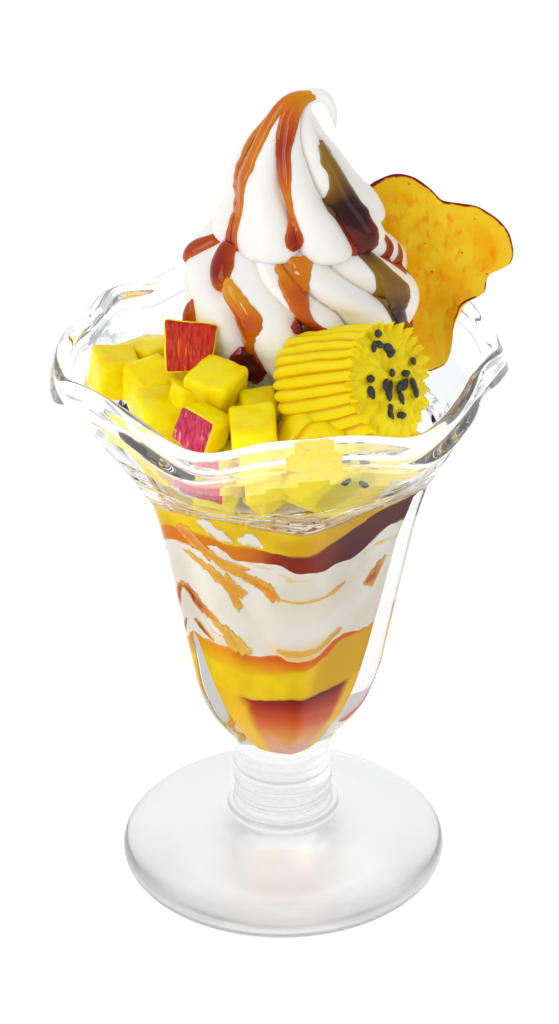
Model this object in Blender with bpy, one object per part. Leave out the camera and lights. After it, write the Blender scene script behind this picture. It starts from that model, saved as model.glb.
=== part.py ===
"""Sweet potato parfait in its six-sided footed glass.

Sizes are in millimetres and are scaled to metres as each mesh is made. +Z is up, the origin is
the centre of the foot's underside, and the piped cream and the diced potato face -Y.
Each layer, each topping and the glass is one closed solid with a small gap to its neighbours.
"""

import math
import random

import bmesh
import bpy
from mathutils import Euler, Vector

MM = 0.001
GAP = 0.3                       # clearance between touching pieces

# Glass: a turned foot and stem, a six-sided bowl and a waved rim.
SIDES = 6
SEGMENTS = 36                   # facets round the glass, a multiple of twice the six sides
HEX_TURN = math.radians(8.5)    # direction of the first rim tip; the ridges stand midway between
OUTER_SHARPNESS = 30.0          # exponents of the rounded hexagons, outside and inside
CAVITY_SHARPNESS = 12.0
FOOT_RADIUS = 38.1
FOOT_EDGE = 4.0
FOOT_FLAT_INSET = 1.5           # the flat underside stops this far short of the edge
FOOT_DOME = ((30.0, 5.2), (21.0, 8.0), (15.5, 10.2))
COLLAR_RADIUS = 13.3
COLLAR_Z = 13.0
COLLAR_ROUNDING = 1.5
STEM_RADIUS = 11.2
STEM_RINGS = (17.0, 20.5, 25.0)
STEM_RING_HEIGHT = 0.4
STEM_RING_HALF_WIDTH = 1.0
SHOULDER_Z = 106.0
RIM_RADIUS = 47.1               # mean radius of the lip's centre line
RIM_Z = 132.6
RIM_TIP_OUT = 1.4               # the six tips lean outward and hang lower than the ridges
RIM_TIP_DROP = 1.5
RIM_SECOND_OUT = -0.3           # a second wave sharpens the tips
RIM_SECOND_DROP = 0.65
# The lip in section, (outward, upward) from its centre line: up the outer band, over the bead
# and down inside.
LIP_SECTION = ((0.2, -6.2), (1.9, -5.4), (2.7, -4.3), (2.6, -3.0), (1.9, -0.9), (1.6, 0.4), (0.8, 1.2),
               (-0.1, 1.5), (-1.0, 1.1), (-1.7, 0.2), (-1.9, -1.2), (-2.4, -4.2))
FLARE_REACH = 0.8               # under 1, the flare spreads faster than it climbs
FLARE_STEPS_OUTSIDE = (0.12, 0.3, 0.5, 0.75)
FLARE_STEPS_INSIDE = (0.75, 0.5, 0.25)
STEM_TO_HEXAGON = 12.0          # height over which the round stem turns six-sided
CAVITY_ROUND_TO = 105.0         # the cavity is round up to a ledge, and six-sided at the shoulder
# (height, radius over a ridge) of the bowl from the stem to the shoulder, and of its cavity
BOWL_STATIONS = ((30.0, 11.2), (33.0, 11.9), (36.0, 13.6), (40.0, 16.7), (46.0, 20.5), (54.0, 23.5),
                 (64.0, 25.6), (76.0, 28.0), (88.0, 30.4), (98.0, 32.6), (SHOULDER_Z, 35.0))
CAVITY_STATIONS = ((32.5, 2.5), (35.0, 4.4), (38.5, 6.2), (42.0, 8.2), (47.0, 10.8), (54.0, 13.4),
                   (64.0, 15.7), (76.0, 18.2), (88.0, 20.5), (CAVITY_ROUND_TO, 25.0), (SHOULDER_Z, 30.6))

# Layers, bottom to top: name, height of the top over the axis, its slope toward +X, its waves.
LAYERS = (
    ("caramel_bottom", 53.6, 0.04, 0.4),
    ("potato_paste_lower", 62.0, 0.12, 0.6),
    ("caramel_middle", 66.4, 0.06, 0.5),
    ("soft_serve_middle", 93.2, 0.04, 0.8),
    ("caramel_upper", 98.4, 0.12, 0.6),
    ("potato_paste_upper", 104.0, 0.02, 0.3),
)
WAVES_ROUND_A_LAYER = 3
LAYER_EDGE = 1.5                # least height between a layer's rings at the wall

# Soft serve swirl standing on the upper paste.
SWIRL_FOLDS = 7
SWIRL_TWIST = math.radians(-150.0)
SWIRL_SEGMENTS = 42
# (height, mean radius, depth of the folds) of the base, the lower coil, the waist and the cone
SWIRL_STATIONS = (
    (105.2, 23.6, 0.0), (110.5, 28.3, 0.2), (115.5, 29.4, 0.3), (119.5, 27.6, 0.5), (128.0, 24.4, 1.2),
    (135.0, 24.0, 1.7), (141.0, 24.2, 1.9), (146.0, 24.0, 2.0), (150.0, 22.2, 1.9), (153.5, 19.4, 1.6),
    (157.0, 17.2, 1.6), (161.0, 16.2, 1.8), (166.0, 14.6, 1.7), (170.0, 12.8, 1.5), (174.0, 10.7, 1.2),
    (178.0, 8.4, 0.9), (182.0, 6.0, 0.5), (186.0, 4.3, 0.2), (189.0, 3.0, 0.0), (191.5, 1.2, 0.0),
)
# (height, x, y) of the swirl's centre line, which curls over at the tip
SWIRL_CENTRES = ((113.0, 0.0, 0.0), (130.0, 4.5, 8.0), (158.0, 4.5, 8.0), (174.0, 2.2, 8.0),
                 (184.0, 3.0, 8.0), (191.5, 7.0, 8.0))
FOLDS_START_Z = 122.0           # the folds begin to turn here

# Piped sweet potato cream: a ribbed strand rising from the glass wall to a cut end.
CREAM_START = (1.0, -14.5, 128.5)
CREAM_END = (24.5, -27.5, 142.0)
CREAM_RADIUS = 12.4
CREAM_SAG = 7.0                 # how much further the strand reaches below its line
CREAM_RIBS = 14
CREAM_RIB_DEPTH = 0.9
CREAM_ROUNDED_START = 0.12      # how far the start has grown toward full thickness
CREAM_END_TAPER = 0.06
CREAM_SEGMENTS = 42
CREAM_RINGS = 10

# Dried sweet potato slice standing behind the swirl.
CHIP_CENTRE = (33.0, 16.5, 144.6)
CHIP_RADIUS = 19.0
CHIP_THICKNESS = 1.4
CHIP_LEAN = 0.2                 # how much it falls back for each millimetre of height
CHIP_WAVES = 3                  # waves of the rim round the slice
CHIP_WAVE_DEPTH = 2.2
CHIP_WAVE_START = 0.6
CHIP_CURL = 0.008               # the sides curl one forward and one back
CHIP_SEGMENTS = 36
CHIP_RINGS = 4
# bumps and hollows of the outline: direction in degrees, height, half-width in degrees
CHIP_BUMPS = ((100.0, 2.0, 14.0), (268.0, 5.5, 20.0), (322.0, -10.5, 24.0), (28.0, 1.5, 22.0))

# Diced sweet potato: name, centre, edge length, turn in degrees about X, Y and Z.
DICE = (
    ("dice_left_outer", (-36.7, 1.4, 126.6), 8.4, (8, 6, 14)),
    ("dice_left_back", (-28.8, 9.4, 125.4), 9.0, (-6, 6, 50)),
    ("dice_red_skin", (-20.2, -7.4, 136.4), 10.0, (8, 4, 12)),
    ("dice_pale_edge", (-27.6, -4.8, 126.4), 8.8, (20, -6, 30)),
    ("dice_centre", (-15.2, -18.2, 134.9), 9.8, (8, 12, -22)),
    ("dice_small", (-20.2, -10.6, 127.2), 5.6, (12, 6, 30)),
    ("dice_front_left", (-26.4, -18.0, 125.8), 9.6, (10, 4, 24)),
    ("dice_pink_skin", (-16.6, -29.4, 128.0), 9.6, (-6, 4, 4)),
    ("dice_front", (-5.4, -31.0, 128.4), 10.4, (4, -4, 2)),
    ("dice_shaded", (-6.2, -20.6, 129.8), 6.8, (14, 8, 16)),
)
DICE_BEVEL = 1.3
DICE_UNEVENNESS = 0.5

GLASS_CLEAR = (0.93, 0.95, 0.95)
CARAMEL = (0.30, 0.05, 0.008)
PASTE_YELLOW = (0.80, 0.52, 0.01)
SOFT_SERVE_WHITE = (0.90, 0.88, 0.83)
CREAM_YELLOW = (0.83, 0.62, 0.02)
DICE_YELLOW = (0.86, 0.66, 0.01)
CHIP_YELLOW = (0.72, 0.36, 0.02)


def make_material(name, colour, roughness, transmission=0.0):
    """A Principled material of one colour."""
    material = bpy.data.materials.new(name)
    material.use_nodes = True
    shader = material.node_tree.nodes["Principled BSDF"]
    shader.inputs["Base Color"].default_value = (*colour, 1.0)
    shader.inputs["Roughness"].default_value = roughness
    shader.inputs["Metallic"].default_value = 0.0
    shader.inputs["Transmission Weight"].default_value = transmission
    return material


def add_object(name, mesh_builder, material, smooth_angle=35.0):
    """Turns a bmesh into a named object, scaled to metres and shaded smooth below an angle."""
    bmesh.ops.recalc_face_normals(mesh_builder, faces=mesh_builder.faces)
    bmesh.ops.scale(mesh_builder, vec=Vector((MM, MM, MM)), verts=mesh_builder.verts)
    mesh = bpy.data.meshes.new(name)
    mesh_builder.to_mesh(mesh)
    mesh_builder.free()
    mesh.shade_smooth()
    mesh.set_sharp_from_angle(angle=math.radians(smooth_angle))
    mesh.materials.append(material)
    obj = bpy.data.objects.new(name, mesh)
    bpy.context.scene.collection.objects.link(obj)
    return obj


def loft(rings):
    """A closed body through rings of points of one length, each end closed by a fan."""
    builder = bmesh.new()
    rows = [[builder.verts.new(point) for point in ring] for ring in rings]
    count = len(rings[0])
    for lower, upper in zip(rows, rows[1:]):
        for i in range(count):
            j = (i + 1) % count
            builder.faces.new((lower[i], lower[j], upper[j]))
            builder.faces.new((lower[i], upper[j], upper[i]))
    for ring, row in ((rings[0], rows[0]), (rings[-1], rows[-1])):
        middle = builder.verts.new(sum(ring, Vector()) / count)
        for i in range(count):
            builder.faces.new((row[i], row[(i + 1) % count], middle))
    return builder


def interpolate(stations, height, column=1):
    """The value of a station table at a height, straight between stations."""
    if height <= stations[0][0]:
        return stations[0][column]
    for low, high in zip(stations, stations[1:]):
        if height <= high[0]:
            share = (height - low[0]) / (high[0] - low[0])
            return low[column] + share * (high[column] - low[column])
    return stations[-1][column]


def hexagon(angle, sharpness):
    """Radius of a rounded hexagon in a direction, 1 over its ridges."""
    def rounded(direction):
        normals = (HEX_TURN + math.tau * side / SIDES for side in range(SIDES))
        total = sum(max(0.0, math.cos(direction - normal)) ** sharpness for normal in normals)
        return total ** (-1.0 / sharpness)
    return rounded(angle) / rounded(HEX_TURN + math.pi / SIDES)


def polar(radius, angle, height):
    return Vector((radius * math.cos(angle), radius * math.sin(angle), height))


def glass_angles():
    return [HEX_TURN + math.tau * i / SEGMENTS for i in range(SEGMENTS)]


def round_ring(radius, height):
    return [polar(radius, angle, height) for angle in glass_angles()]


def hexagon_ring(radius, height, sharpness, squareness=1.0):
    """A ring that turns from round to six-sided as squareness goes from 0 to 1."""
    return [polar(radius * (1 + squareness * (hexagon(angle, sharpness) - 1)), angle, height)
            for angle in glass_angles()]


def rim_point(angle, outward, upward):
    """A point beside the lip's waved centre line."""
    wave = SIDES * (angle - HEX_TURN)
    radius = RIM_RADIUS + RIM_TIP_OUT * math.cos(wave) + RIM_SECOND_OUT * math.cos(2 * wave)
    height = RIM_Z - RIM_TIP_DROP * math.cos(wave) - RIM_SECOND_DROP * math.cos(2 * wave)
    return polar(radius + outward, angle, height + upward)


def rounding_rings(radius, height, rounding, degrees):
    """Rings up a rounded edge of that outer radius, at these angles from level."""
    turns = [math.radians(value) for value in degrees]
    return [round_ring(radius - rounding + rounding * math.cos(turn), height + rounding * math.sin(turn))
            for turn in turns]


def foot_and_stem_rings():
    """Rings of the flat foot, its rounded edge, the dome, the collar bead and the ringed stem."""
    half_edge = FOOT_EDGE / 2
    rings = [round_ring(FOOT_RADIUS - FOOT_FLAT_INSET, 0.0)]
    rings += rounding_rings(FOOT_RADIUS, half_edge, half_edge, (-60, -25, 10, 45, 80))
    rings += [round_ring(radius, height) for radius, height in FOOT_DOME]
    rings += rounding_rings(COLLAR_RADIUS, COLLAR_Z, COLLAR_ROUNDING, (-50, -10, 30, 70))
    for height in STEM_RINGS:
        rings.append(round_ring(STEM_RADIUS, height - STEM_RING_HALF_WIDTH))
        rings.append(round_ring(STEM_RADIUS + STEM_RING_HEIGHT, height))
    rings.append(round_ring(STEM_RADIUS, STEM_RINGS[-1] + STEM_RING_HALF_WIDTH))
    return rings


def bowl_rings():
    """Rings of the six-sided bowl, growing out of the round stem."""
    rings = []
    for height, radius in BOWL_STATIONS:
        squareness = min(1.0, (height - BOWL_STATIONS[0][0]) / STEM_TO_HEXAGON)
        rings.append(hexagon_ring(radius, height, OUTER_SHARPNESS, squareness))
    return rings


def flare_rings():
    """Rings outside, from the shoulder up to the lip, over the lip and down inside again."""
    lip = [[rim_point(angle, outward, upward) for angle in glass_angles()] for outward, upward in LIP_SECTION]
    rings = [blend_rings(bowl_rings()[-1], lip[0], share) for share in FLARE_STEPS_OUTSIDE]
    rings += lip
    rings += [blend_rings(cavity_rings()[-1], lip[-1], share) for share in FLARE_STEPS_INSIDE]
    return rings


def blend_rings(low, high, share):
    """The ring at a share of the way up between two rings, its radius ahead of its height."""
    reach = share ** FLARE_REACH
    return [Vector((start.x + reach * (end.x - start.x), start.y + reach * (end.y - start.y),
                    start.z + share * (end.z - start.z))) for start, end in zip(low, high)]


def cavity_rings():
    """Rings of the cavity from its floor to the shoulder."""
    rings = []
    for height, radius in CAVITY_STATIONS:
        squareness = max(0.0, (height - CAVITY_ROUND_TO) / (SHOULDER_Z - CAVITY_ROUND_TO))
        rings.append(hexagon_ring(radius, height, CAVITY_SHARPNESS, squareness))
    return rings


def cavity_point(angle, height, clearance):
    """A point inside the cavity wall, on the facets between the cavity's rings."""
    rings = cavity_rings()
    index = round((angle - HEX_TURN) / math.tau * SEGMENTS) % SEGMENTS
    profile = [(ring[index].z, math.hypot(ring[index].x, ring[index].y)) for ring in rings]
    return polar(interpolate(profile, height) - clearance, angle, height)


def build_glass():
    rings = foot_and_stem_rings() + bowl_rings() + flare_rings() + cavity_rings()[::-1]
    add_object("glass", loft(rings), make_material("glass_clear", GLASS_CLEAR, 0.02, 1.0), 30.0)


def layer_height(index, x, y):
    """The height of a layer's top surface, sloping toward +X with a few slow waves."""
    _, height, slope, waves = LAYERS[index]
    angle = math.atan2(y, x)
    distance = math.hypot(x, y) / CAVITY_STATIONS[-1][1]
    return height + slope * x + waves * distance * math.sin(WAVES_ROUND_A_LAYER * angle + index)


def wall_ring(index, side):
    """The ring where a layer's surface meets the wall, lifted or lowered by half a gap."""
    ring = []
    for angle in glass_angles():
        height = LAYERS[index][1]
        for _ in range(4):
            point = cavity_point(angle, height, GAP)
            height = layer_height(index, point.x, point.y) + side * GAP / 2
        ring.append(cavity_point(angle, height, GAP))
    return ring


def build_layers():
    """The layers, each filling the cavity between its neighbours' surfaces."""
    caramel = make_material("caramel", CARAMEL, 0.15)
    paste = make_material("potato_paste", PASTE_YELLOW, 0.45)
    soft_serve = make_material("soft_serve_layer", SOFT_SERVE_WHITE, 0.5)
    finishes = {"caramel": caramel, "potato": paste, "soft": soft_serve}
    for index, (name, _, _, _) in enumerate(LAYERS):
        if index == 0:
            floor_z = CAVITY_STATIONS[0][0] + GAP
            rings = [[cavity_point(angle, floor_z, 2 * GAP) for angle in glass_angles()]]
            lowest = floor_z
        else:
            rings = [wall_ring(index - 1, 1)]
            lowest = max(point.z for point in rings[-1])
        top = wall_ring(index, -1)
        highest = min(point.z for point in top)
        for height, _ in CAVITY_STATIONS:
            if lowest + LAYER_EDGE < height < highest - LAYER_EDGE:
                rings.append([cavity_point(angle, height, GAP) for angle in glass_angles()])
        rings.append(top)
        add_object(name, loft(rings), finishes[name.split("_")[0]])


def swirl_point(angle, height, radius, depth):
    """A point on the swirl, whose rounded folds turn as they rise."""
    rise = max(0.0, height - FOLDS_START_Z) / (SWIRL_STATIONS[-1][0] - FOLDS_START_Z)
    phase = SWIRL_FOLDS * (angle - SWIRL_TWIST * rise)
    fold = 2 * abs(math.cos(phase / 2)) - 1
    centre = Vector((interpolate(SWIRL_CENTRES, height, 1), interpolate(SWIRL_CENTRES, height, 2), 0.0))
    return centre + polar(radius + depth * fold, angle, height)


def swirl_rings(clearance):
    angles = [math.tau * i / SWIRL_SEGMENTS for i in range(SWIRL_SEGMENTS)]
    return [[swirl_point(angle, height, radius + clearance, depth) for angle in angles]
            for height, radius, depth in SWIRL_STATIONS]


def build_swirl(material):
    return add_object("soft_serve_swirl", loft(swirl_rings(0.0)), material, 50.0)


def build_swirl_cutter(material):
    """The swirl grown by the gap, which cuts back whatever is pressed into it."""
    cutter = add_object("swirl_cutter", loft(swirl_rings(GAP + 0.1)), material)
    cutter.hide_render = True
    cutter.display_type = "WIRE"
    return cutter


def cut_back(obj, cutter):
    """Cuts an object back to the surface of the cutter."""
    cut = obj.modifiers.new("cut_back", "BOOLEAN")
    cut.operation = "DIFFERENCE"
    cut.solver = "EXACT"
    cut.object = cutter


def build_cream():
    """The ribbed strand, rounded at its start and cut square at its raised end."""
    start, end = Vector(CREAM_START), Vector(CREAM_END)
    axis = (end - start).normalized()
    side = axis.cross(Vector((0, 0, 1))).normalized()
    up = side.cross(axis)
    rings = []
    for step in range(CREAM_RINGS + 1):
        share = step / CREAM_RINGS
        swell = math.sin(math.pi * min(0.5, CREAM_ROUNDED_START + share)) * (1 - CREAM_END_TAPER * share ** 6)
        ring = []
        for i in range(CREAM_SEGMENTS):
            angle = math.tau * i / CREAM_SEGMENTS
            rib = CREAM_RIB_DEPTH * math.cos(CREAM_RIBS * angle)
            radius = swell * (CREAM_RADIUS + rib)
            lowering = CREAM_SAG * swell * max(0.0, -math.sin(angle)) ** 2
            ring.append(start.lerp(end, share) + side * radius * math.cos(angle)
                        + up * radius * math.sin(angle) - Vector((0, 0, lowering)))
        rings.append(ring)
    return add_object("piped_cream", loft(rings), make_material("piped_cream", CREAM_YELLOW, 0.5))


def chip_outline(angle):
    """Radius of the slice's uneven outline in a direction."""
    radius = CHIP_RADIUS
    for direction, height, width in CHIP_BUMPS:
        offset = (math.degrees(angle) - direction + 180.0) % 360.0 - 180.0
        radius += height * math.exp(-(offset / width) ** 2)
    return radius


def chip_point(angle, share, front):
    """A point on the front or the back of the wavy slice."""
    radius = share * chip_outline(angle)
    x, rise = radius * math.cos(angle), radius * math.sin(angle)
    wave = CHIP_WAVE_DEPTH * math.sin(CHIP_WAVES * angle + CHIP_WAVE_START) * share ** 2
    curl = wave - CHIP_CURL * x * abs(x)
    y = CHIP_LEAN * rise + curl - front * CHIP_THICKNESS / 2
    return Vector(CHIP_CENTRE) + Vector((x, y, rise))


def build_chip():
    angles = [math.tau * i / CHIP_SEGMENTS for i in range(CHIP_SEGMENTS)]
    shares = [step / CHIP_RINGS for step in range(1, CHIP_RINGS + 1)]
    rings = [[chip_point(angle, share, 1) for angle in angles] for share in shares]
    rings += [[chip_point(angle, share, -1) for angle in angles] for share in reversed(shares)]
    return add_object("potato_chip", loft(rings), make_material("potato_chip", CHIP_YELLOW, 0.5), 50.0)


def build_dice():
    """Bevelled cubes of cooked potato, each a little out of square."""
    dice = []
    material = make_material("potato_dice", DICE_YELLOW, 0.35)
    for number, (name, centre, edge, turn) in enumerate(DICE):
        draw = random.Random(number)
        builder = bmesh.new()
        bmesh.ops.create_cube(builder, size=edge)
        for vertex in builder.verts:
            vertex.co += Vector([draw.uniform(-DICE_UNEVENNESS, DICE_UNEVENNESS) for _ in range(3)])
        bmesh.ops.bevel(builder, geom=builder.edges[:], offset=DICE_BEVEL, segments=1, affect="EDGES")
        rotation = Euler([math.radians(value) for value in turn]).to_matrix()
        bmesh.ops.rotate(builder, matrix=rotation, verts=builder.verts)
        bmesh.ops.translate(builder, vec=Vector(centre), verts=builder.verts)
        dice.append(add_object(name, builder, material))
    return dice


def main():
    for obj in list(bpy.data.objects):
        bpy.data.objects.remove(obj, do_unlink=True)
    build_glass()
    build_layers()
    soft_serve = make_material("soft_serve", SOFT_SERVE_WHITE, 0.45)
    build_swirl(soft_serve)
    cutter = build_swirl_cutter(soft_serve)
    for topping in (build_cream(), build_chip(), *build_dice()):
        cut_back(topping, cutter)


if __name__ == "__main__":
    main()
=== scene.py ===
"""Visual model of a sweet potato parfait in its six-sided footed glass.

Sizes are in millimetres in the part's own frame: +Z up, origin at the centre of the foot's
underside, the toppings facing -Y. Directions round the axis are in degrees from +X.
"""
import logging
import math
import random
from collections.abc import Callable, Sequence
from dataclasses import dataclass
from enum import Enum
from itertools import product

import bpy
from mathutils import Euler, Matrix, Vector, noise


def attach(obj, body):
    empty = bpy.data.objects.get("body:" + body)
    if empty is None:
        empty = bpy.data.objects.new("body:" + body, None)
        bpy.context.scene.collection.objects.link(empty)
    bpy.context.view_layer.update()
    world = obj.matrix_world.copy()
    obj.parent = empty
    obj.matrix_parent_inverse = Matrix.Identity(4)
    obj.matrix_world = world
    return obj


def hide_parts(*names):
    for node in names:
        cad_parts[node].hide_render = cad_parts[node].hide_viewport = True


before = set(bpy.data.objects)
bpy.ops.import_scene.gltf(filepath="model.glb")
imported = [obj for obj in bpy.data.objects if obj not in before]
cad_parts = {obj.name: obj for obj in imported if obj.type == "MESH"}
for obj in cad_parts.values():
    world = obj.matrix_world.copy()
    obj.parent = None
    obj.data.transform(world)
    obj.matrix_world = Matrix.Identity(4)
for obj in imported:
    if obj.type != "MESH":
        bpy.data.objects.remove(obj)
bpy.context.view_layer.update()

MM = 0.001
ROOT = "root"
LOG = logging.getLogger("parfait")

Colour = tuple[float, float, float]
Ring = list[Vector]
Sample = tuple[Vector, float]
Station = tuple[float, ...]
Path = tuple[Station, ...]
Socket = bpy.types.NodeSocket


def mix(low: float, high: float, share: float) -> float:
    """The value at a share of the way from low to high."""
    return low + (high - low) * share


def limit(value: float, low: float = 0.0, high: float = 1.0) -> float:
    """The value, held between low and high."""
    return max(low, min(high, value))


def smooth_value(stations: Sequence[Station], at: float, column: int = 1) -> float:
    """Reads a table of stations on a smooth curve through them.

    Args:
        stations: Rows that start with their place, in rising order.
        at: The place to read.
        column: The column that holds the value.

    Returns:
        The value, held level beyond the first and last station.
    """
    last = len(stations) - 1
    if at <= stations[0][0]:
        return stations[0][column]
    if at >= stations[last][0]:
        return stations[last][column]
    k = next(i for i in range(last) if at <= stations[i + 1][0])

    def slope(i: int) -> float:
        """Slope of the curve at a station."""
        low, high = max(i - 1, 0), min(i + 1, last)
        return (stations[high][column] - stations[low][column]) / (stations[high][0] - stations[low][0])

    span = stations[k + 1][0] - stations[k][0]
    t = (at - stations[k][0]) / span
    start, end = stations[k][column], stations[k + 1][column]
    return ((2 * t ** 3 - 3 * t ** 2 + 1) * start + (t ** 3 - 2 * t ** 2 + t) * span * slope(k)
            + (3 * t ** 2 - 2 * t ** 3) * end + (t ** 3 - t ** 2) * span * slope(k + 1))


def round_value(stations: Sequence[Station], direction: float, column: int = 1) -> float:
    """Reads a table of stations that goes round the axis.

    Args:
        stations: Rows that start with a direction in degrees, from 0 up to under 360.
        direction: The direction to read, in degrees.
        column: The column that holds the value.

    Returns:
        The value on a smooth closed curve through the stations.
    """
    turned = [(row[0] + turn, row[column]) for turn in (-360, 0, 360) for row in stations]
    return smooth_value(turned, direction % 360)


def polar(radius: float, angle: float, height: float) -> Vector:
    """A point at a radius, an angle in radians and a height."""
    return Vector((radius * math.cos(angle), radius * math.sin(angle), height))


def ring_angles(count: int) -> list[float]:
    """A number of evenly spaced directions round an axis, in radians."""
    return [math.tau * i / count for i in range(count)]


def along_path(path: Sequence[Station], steps: int) -> list[Station]:
    """Reads a path of rows on a smooth curve through them.

    Args:
        path: The rows.
        steps: How many steps to take from each row to the next.

    Returns:
        A row for each step.
    """
    numbered = [(float(i), *row) for i, row in enumerate(path)]
    last = len(path) - 1
    places = [last * i / (steps * last) for i in range(steps * last + 1)]
    return [tuple(smooth_value(numbered, at, column + 1) for column in range(len(path[0]))) for at in places]


def ball_rings(rows: int, segments: int) -> list[tuple[float, Ring]]:
    """Unit directions over a ball, in rings from bottom to top.

    Args:
        rows: How many steps there are from pole to pole.
        segments: How many directions a ring has.

    Returns:
        The tilt of each ring in radians, and its directions.
    """
    tilts = [math.pi * i / rows - math.pi / 2 for i in range(1, rows)]
    return [(tilt, [polar(math.cos(tilt), angle, math.sin(tilt)) for angle in ring_angles(segments)])
            for tilt in tilts]


def lumps(point: Vector, size: float, seed: float = 0.0) -> float:
    """Smooth noise between about -1 and 1, with lumps of a size in millimetres."""
    return noise.noise(point / size + Vector((seed, 1.7 * seed, 0.3 * seed)))


class Body:
    """A mesh under construction, in millimetres, with a number at each point for its finish."""

    def __init__(self) -> None:
        """Starts empty."""
        self.points: list[Vector] = []
        self.values: list[float] = []
        self.faces: list[tuple[int, ...]] = []
        self.marks: list[int] = []

    def add_points(self, points: Sequence[Vector], values: Sequence[float] | None = None) -> range:
        """Adds points.

        Args:
            points: The points.
            values: A number for each, 0 if left out.

        Returns:
            Their numbers in the mesh.
        """
        start = len(self.points)
        self.points += points
        self.values += values if values is not None else [0.0] * len(points)
        return range(start, len(self.points))

    def add_face(self, corners: Sequence[int], mark: int = 0) -> None:
        """Adds a face of a material number."""
        self.faces.append(tuple(corners))
        self.marks.append(mark)

    def loft(self, rings: Sequence[Ring], values: Sequence[Sequence[float]] | None = None) -> None:
        """Adds a closed body through rings of one length, each end closed by a fan.

        Args:
            rings: The rings, bottom to top for faces that look outward.
            values: A number for each point of each ring, 0 if left out.
        """
        rows = [self.add_points(ring, values[i] if values else None) for i, ring in enumerate(rings)]
        count = len(rings[0])
        for lower, upper in zip(rows, rows[1:]):
            for i in range(count):
                j = (i + 1) % count
                self.add_face((lower[i], lower[j], upper[j], upper[i]))
        for end in (0, -1):
            mean = sum(values[end]) / count if values else 0.0
            middle = self.add_points([sum(rings[end], Vector()) / count], [mean])[0]
            for i in range(count):
                pair = (rows[end][i], rows[end][(i + 1) % count])
                self.add_face((*(pair if end else pair[::-1]), middle))

    def loft_samples(self, rings: Sequence[Sequence[Sample]]) -> None:
        """Adds a closed body through rings of points, each with its number."""
        values = [[value for _, value in ring] for ring in rings]
        self.loft([[point for point, _ in ring] for ring in rings], values)

    def make(self, name: str, materials: Sequence[bpy.types.Material],
             sharp: float | None = None) -> bpy.types.Object:
        """Turns the body into an object in the scene.

        Args:
            name: The name of the piece.
            materials: Its materials, in the order of the faces' marks.
            sharp: The angle in degrees over which edges stay sharp, or None for all smooth.

        Returns:
            The object, in metres.
        """
        mesh = bpy.data.meshes.new(name)
        mesh.from_pydata([point * MM for point in self.points], [], self.faces)
        attribute = mesh.attributes.new("value", "FLOAT", "POINT")
        attribute.data.foreach_set("value", self.values)
        mesh.polygons.foreach_set("material_index", self.marks)
        mesh.shade_smooth()
        if sharp is not None:
            mesh.set_sharp_from_angle(angle=math.radians(sharp))
        for material in materials:
            mesh.materials.append(material)
        obj = bpy.data.objects.new(name, mesh)
        bpy.context.scene.collection.objects.link(obj)
        return obj


def register(piece: bpy.types.Object, slot: str, *nodes: str) -> None:
    """Args:
        piece: The piece.
        slot: Its slot, which is not used.
        nodes: The nodes it replaces, none if it has no node of its own.
    """
    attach(piece, ROOT)
    if nodes:
        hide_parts(*nodes)
    LOG.info("%s: %d faces, for %s", piece.name, len(piece.data.polygons), ", ".join(nodes) or "no node")


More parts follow.
